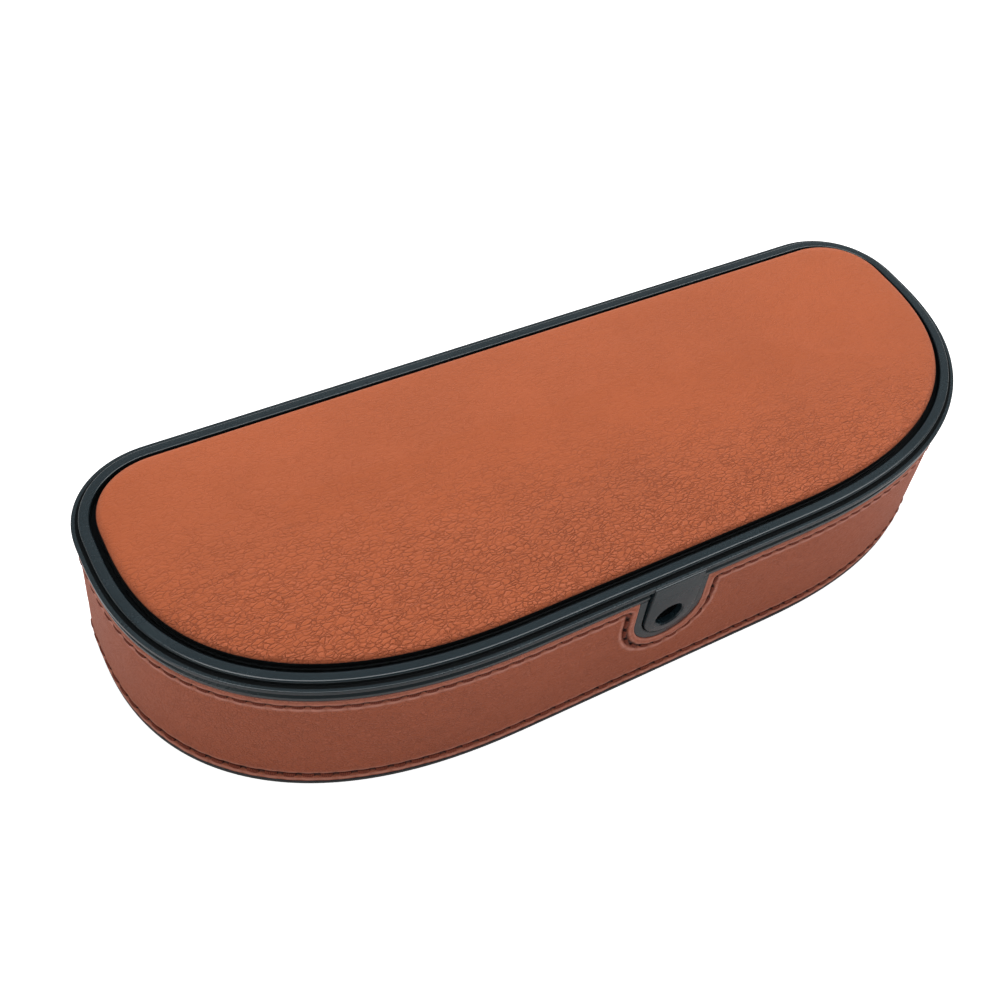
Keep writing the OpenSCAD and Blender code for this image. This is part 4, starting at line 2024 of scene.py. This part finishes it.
    def stitching(self, route: StitchRoute, seed: int) -> Piece:
        """Copies the stitch along one line.

        Args:
            route: The line.
            seed: Seed of the small differences between stitches.

        Returns:
            The row of stitches, joined.
        """
        draw = random.Random(seed)
        first = self.stitch()
        copies = []
        for index in range(route.stitches):
            middle = (index + 0.5) * route.pitch
            here = route.at(middle)
            ahead = route.at(middle + 0.3) - route.at(middle - 0.3)
            ahead /= np.linalg.norm(ahead)
            point, normal = self.outline.at(here[:1])
            tangent = Vector((-normal[0, 1], normal[0, 0], 0))
            outward = Vector((normal[0, 0], normal[0, 1], 0))
            direction = tangent * ahead[0] + Vector((0, 0, 1)) * ahead[1]
            across = outward.cross(direction)
            slant = math.radians(draw.gauss(-8, 2.5))
            direction = (direction * math.cos(slant) + across * math.sin(slant)).normalized()
            across = outward.cross(direction)
            offset = float(self.offset(here[1])) - self.seam_depth + 0.24 + draw.gauss(0, 0.015)
            origin = Vector((*point[0], here[1])) + outward * offset
            by_hinge = abs(abs(origin.x) - self.hinge_x) < self.notch_l / 2 and origin.y > 0
            if by_hinge and here[1] > self.notch_z - 1:
                continue
            copy = first.copy()
            copy.data = first.data.copy()
            bpy.context.scene.collection.objects.link(copy)
            axes = Matrix((direction, across, outward)).transposed().to_4x4()
            copy.data.transform(Matrix.Translation(origin * MM) @ axes)
            copies.append(copy)
        bpy.data.objects.remove(first)
        piece = joined(f"{route.name}_stitches", copies)
        soften(piece, 80)
        return piece

    def build(self) -> list[Piece]:
        """Builds and dresses the leather and both rows of stitches.

        Returns:
            The three pieces.
        """
        routes = self.routes()
        leather = joined("base_leather_band", [self.leather(routes), self.turned_edge()])
        soften(leather, 50)
        dress(leather, self.wardrobe.band_leather, Body.BASE, ["base_leather"])
        pieces = [leather]
        for seed, (route, node) in enumerate(zip(routes, ("upper_stitching", "lower_stitching"))):
            row = self.stitching(route, seed + 7)
            pieces.append(dress(row, self.wardrobe.thread, Body.BASE, [node]))
        return pieces


@dataclass
class Linings(CasePart):
    """The flocked linings of the base and the lid."""

    shell_d: float = -3.15
    shell_top: float = 29.75
    shell_lean: float = 1.43 / 28.7
    lining_t: float = 1.0
    floor_r: float = 4.0
    top_z: float = 26.75
    edge_r: float = 0.3
    lid_edge_d: float = -8.05
    count: int = 240

    def base(self) -> Piece:
        """The base's lining: a tray with a soft bend between wall and floor.

        Returns:
            The lining.
        """
        places, bend_r, edge_r = self.outline.even(self.count), self.floor_r, self.edge_r
        foot, top, t = self.sizes.floor_top, self.top_z, self.lining_t
        out_top = self.shell_d + self.shell_lean * (self.shell_top - top)
        out_foot = self.shell_d + self.shell_lean * (self.shell_top - foot)
        in_foot, centre_z = out_foot - t, foot + t + bend_r
        section = [
            (out_foot - bend_r * 0.6, foot),
            (out_foot, foot + bend_r * 0.6),
            (out_top, top - edge_r),
            (out_top - edge_r, top),
            (out_top - t + edge_r, top),
            (out_top - t, top - edge_r),
        ]
        for turn in np.linspace(0, math.pi / 2, 9):
            section.append((in_foot - bend_r + bend_r * math.cos(turn), centre_z - bend_r * math.sin(turn)))
        section += [(-inward, foot + t) for inward in (9.5, 12.0, 14.0)]
        rings = [self.outline.toward_spine(places, SPINE_START, foot, part) for part in (1.0, 0.5, 0.0)]
        rings += [self.outline.ring(places, offset, height) for offset, height in section]
        for part in (0.2, 0.4, 0.6, 0.8, 1.0):
            rings.append(self.outline.toward_spine(places, SPINE_START, foot + t, part))
        piece = skin("base_lining", rings, closed=False)
        clean(piece, merge=MERGE)
        soften(piece, 60)
        return piece

    def lid(self) -> Piece:
        """The lid's lining: a thin soft panel with a rounded edge.

        Returns:
            The lining.
        """
        places = self.outline.even(self.count)
        low, high = (corner.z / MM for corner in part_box("lid_liner"))
        edge = self.lid_edge_d
        section = [
            (-12.0, high),
            (edge - 0.1, high),
            (edge, high - 0.1),
            (edge, low + 0.4),
            (edge - 0.12, low + 0.15),
            (edge - 0.4, low + 0.02),
            (-10.0, low),
            (-12.0, low),
            (SPINE_START, low),
        ]
        rings = [self.outline.toward_spine(places, SPINE_START, high, part) for part in (1.0, 0.5, 0.0)]
        rings += [self.outline.ring(places, offset, height) for offset, height in section]
        rings += [self.outline.toward_spine(places, SPINE_START, low, part) for part in (0.3, 0.6, 1.0)]
        piece = skin("lid_lining", rings, closed=False)
        clean(piece, merge=MERGE)
        soften(piece, 60)
        return piece

    def build(self) -> list[Piece]:
        """Builds and dresses both linings.

        Returns:
            The two pieces.
        """
        base = dress(self.base(), self.wardrobe.lining, Body.BASE, ["base_liner"])
        lid = dress(self.lid(), self.wardrobe.lining, Body.LID, ["lid_liner"])
        return [base, lid]


@dataclass
class Fittings(CasePart):
    """The bottom plate, magnets, strike plates and hinge pins."""

    plate_d: float = 0.98
    plate_r: float = 0.16
    field_in: float = 6.0
    field_depth: float = 0.25

    def bottom(self) -> Piece:
        """The bottom plate with a rounded edge and a shallow sunk field underneath.

        Returns:
            The plate.
        """
        places = self.outline.even(360)
        top, r, d = self.sizes.plate_top, self.plate_r, self.plate_d
        sunk = d - self.field_in
        depth = self.field_depth
        section = [
            (sunk - 0.3, depth),
            (sunk - 0.15, depth * 0.85),
            (sunk, 0.05),
            (sunk + 0.15, 0.0),
            (d - r, 0.0),
            (d - r * 0.3, r * 0.3),
            (d, r),
            (d, top - 0.15),
            (d - 0.15, top),
        ]
        rings = [self.outline.toward_spine(places, SPINE_START, depth, part) for part in (1.0, 0.5, 0.0)]
        rings += [self.outline.ring(places, offset, height) for offset, height in section]
        rings += [self.outline.toward_spine(places, SPINE_START, top, part) for part in (0.0, 0.5, 1.0)]
        piece = skin("bottom_plate_moulding", rings, closed=False)
        clean(piece, merge=MERGE)
        soften(piece, 40)
        return piece

    @staticmethod
    def slab(node: str, name: str, bevel: float) -> Piece:
        """A bevelled block in a node's box.

        Args:
            node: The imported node.
            name: Name of the new piece.
            bevel: Width of its bevel.

        Returns:
            The block.
        """
        low, high = (Vector(corner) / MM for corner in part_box(node))
        piece = block(name, low, high, bevel)
        soften(piece, 40)
        return piece

    def pin(self, node: str, name: str) -> Piece:
        """A hinge pin with domed ends in a node's box.

        Args:
            node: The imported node.
            name: Name of the new piece.

        Returns:
            The pin.
        """
        low, high = (Vector(corner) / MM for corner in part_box(node))
        radius = (high.z - low.z) / 2
        piece = barrel(name, (low + high) / 2, radius, high.x - low.x, Along.X, sides=32)
        with editing(piece) as mesh:
            bpy.ops.mesh.select_all(action="DESELECT")
            bpy.ops.mesh.select_mode(type="FACE")
            for face in mesh.faces:
                face.select = abs(face.normal.x) > 0.9
            mesh.select_flush_mode()
            bpy.ops.mesh.bevel(offset=radius * 0.4 * MM, segments=3)
            bpy.ops.mesh.select_mode(type="VERT")
        soften(piece, 50)
        return piece

    def build(self) -> list[Piece]:
        """Builds and dresses the fittings.

        Returns:
            The pieces.
        """
        bottom = self.bottom()
        pieces = [dress(bottom, self.wardrobe.moulded, Body.BASE, ["bottom_plate"])]
        for side in ("left", "right"):
            magnet = self.slab(f"magnet_{side}", f"magnet_block_{side}", 0.15)
            pieces.append(dress(magnet, self.wardrobe.nickel, Body.BASE, [f"magnet_{side}"]))
            plate = self.slab(f"strike_plate_{side}", f"strike_plate_steel_{side}", 0.1)
            pieces.append(dress(plate, self.wardrobe.steel, Body.LID, [f"strike_plate_{side}"]))
            pin = self.pin(f"hinge_pin_{side}", f"hinge_pin_steel_{side}")
            pieces.append(dress(pin, self.wardrobe.steel, Body.BASE, [f"hinge_pin_{side}"]))
        return pieces


def dress_kept_nodes(wardrobe: Wardrobe) -> None:
    """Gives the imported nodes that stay, which are hidden inside, their material.

    Args:
        wardrobe: The materials.
    """
    for node in ("base_shell", "lid_board"):
        kept = frame["nodes"][node]
        kept.data.materials.clear()
        kept.data.materials.append(wardrobe.moulded)
        LOG.info("%s: packed node kept", node)


# ---------------------------------------------------------------- studio


@dataclass(frozen=True)
class Studio:
    """The white floor, the soft lights and the camera."""

    azimuth: float = -36.43
    elevation: float = 51.23
    roll: float = 9.49
    distance: float = 251.24
    shift_right: float = -17.43
    shift_up: float = -11.89
    aim_z: float = 35.375
    lens: float = 43.78
    sensor: float = 36.0
    world_strength: float = 0.62
    floor_size: float = 6.0
    floor_glow: float = 0.8
    front_glow: float = 0.12
    back_glow: float = 0.3
    strip_glow: float = 6.5
    strip_y: float = -0.2

    def axes(self) -> Matrix:
        """The camera's right, up and back directions as the columns of a matrix.

        Returns:
            A 3 by 3 rotation.
        """
        a, e, turn = (math.radians(angle) for angle in (self.azimuth, self.elevation, self.roll))
        back = Vector((math.sin(a) * math.cos(e), -math.cos(a) * math.cos(e), math.sin(e)))
        right = Vector((0, 0, 1)).cross(back).normalized()
        up = back.cross(right)
        level = Matrix((right, up, back)).transposed()
        return level @ Matrix.Rotation(turn, 3, "Z")

    def camera(self) -> bpy.types.Object:
        """Creates the scene's camera.

        Returns:
            The camera.
        """
        axes = self.axes()
        place = axes @ Vector((self.shift_right, self.shift_up, self.distance))
        place.z += self.aim_z
        bpy.ops.object.camera_add()
        camera = bpy.context.object
        camera.matrix_world = Matrix.Translation(place * MM) @ axes.to_4x4()
        camera.data.sensor_width = self.sensor
        camera.data.lens = self.lens
        camera.data.clip_start = 0.01
        camera.data.dof.use_dof = False
        bpy.context.scene.camera = camera
        return camera

    def floor(self) -> bpy.types.Object:
        """The white floor, which stays white to the camera and keeps a soft contact shadow.

        Returns:
            The floor.
        """
        bpy.ops.object.select_all(action="DESELECT")
        bpy.ops.mesh.primitive_plane_add(size=self.floor_size, location=(0, 0, -0.0001))
        floor = rename(bpy.context.object, "floor")
        material = bpy.data.materials.new("white_floor")
        material.use_nodes = True
        bench = Bench(material.node_tree)
        matte = bench.add("BsdfDiffuse", Color=(0.8, 0.8, 0.8))
        glow = bench.add("Emission", Color=(1.0, 1.0, 1.0))
        bench.put(glow, "Strength", self.floor_glow)
        both = bench.add("AddShader")
        bench.put(both, 0, matte.outputs[0])
        bench.put(both, 1, glow.outputs[0])
        seen = bench.add("LightPath").outputs["Is Camera Ray"]
        mix = bench.add("MixShader")
        bench.put(mix, 0, seen)
        bench.put(mix, 1, matte.outputs[0])
        bench.put(mix, 2, both.outputs[0])
        bench.put(bench.add("OutputMaterial"), "Surface", mix.outputs[0])
        floor.data.materials.append(material)
        return floor

    def world(self) -> None:
        """A white surround that gives glossy surfaces a dim front, a lighter back and one bright strip."""
        world = bpy.data.worlds.new("surround")
        world.use_nodes = True
        bpy.context.scene.world = world
        bench = Bench(world.node_tree)
        path = bench.add("LightPath").outputs
        way = bench.add("SeparateXYZ", Vector=bench.add("TexCoord").outputs["Generated"])
        behind = bench.ramp(way.outputs["Y"], 0.05, 0.4)
        mirrored = bench.maths("MULTIPLY_ADD", behind, self.back_glow, self.front_glow)
        from_strip = bench.maths("ABSOLUTE", bench.maths("SUBTRACT", way.outputs["Y"], self.strip_y))
        strip = bench.maths("SUBTRACT", 1.0, bench.ramp(from_strip, 0.16, 0.26))
        strip = bench.maths("MULTIPLY", strip, bench.ramp(way.outputs["Z"], 0.5, 0.7))
        mirrored = bench.maths("MULTIPLY_ADD", strip, self.strip_glow, mirrored)
        fill = bench.add("Mix", {"data_type": "FLOAT"})
        bench.put(fill, 0, path["Is Glossy Ray"])
        bench.put(fill, 2, self.world_strength)
        bench.put(fill, 3, mirrored)
        back = bench.add("Background", Color=(1.0, 1.0, 1.0))
        bench.put(back, "Strength", bench.maths("MAXIMUM", path["Is Camera Ray"], fill.outputs[0]))
        bench.put(bench.add("OutputWorld"), "Surface", back.outputs[0])

    @staticmethod
    def softbox(
        name: str, place: Sequence[float], aim: Sequence[float], size: tuple[float, float], watts: float
    ) -> bpy.types.Object:
        """One rectangular soft light.

        Args:
            name: Name of the light.
            place: Where it hangs, in metres.
            aim: The point that it faces.
            size: Its width and height.
            watts: Its power.

        Returns:
            The light.
        """
        bpy.ops.object.light_add(type="AREA", location=place)
        light = bpy.context.object
        light.name = name
        light.data.shape = "RECTANGLE"
        light.data.size, light.data.size_y = size
        light.data.energy = watts
        light.rotation_mode = "QUATERNION"
        light.rotation_quaternion = (Vector(aim) - Vector(place)).to_track_quat("-Z", "Y")
        light.visible_glossy = False
        return light

    def build(self) -> None:
        """Sets up the floor, the lights and the camera."""
        self.floor()
        self.world()
        self.softbox("top_light", (0.2, 0.6, 0.7), (0, 0, 0.03), (0.7, 0.5), 7.0)
        self.softbox("side_light", (0.9, -0.2, 0.5), (0, 0, 0.02), (0.4, 0.6), 1.2)
        self.camera()
        bpy.context.scene.view_settings.view_transform = "Standard"


def main() -> None:
    """Builds the case from the base up and reports each piece."""
    logging.basicConfig(level=logging.INFO, format="%(name)s %(levelname)s %(message)s", force=True)
    sizes = CaseSizes.from_frame()
    LOG.info("sizes: %s", sizes)
    outline = PlanOutline(length=sizes.length, width=sizes.width)
    wardrobe = Wardrobe()
    for part in (Fittings, Linings, BaseBand, BaseRim, LidFrame, LidUpholstery):
        part(sizes, outline, wardrobe).build()
    dress_kept_nodes(wardrobe)
    Studio().build()
    bpy.ops.object.select_all(action="DESELECT")


if __name__ == "__main__":
    main()
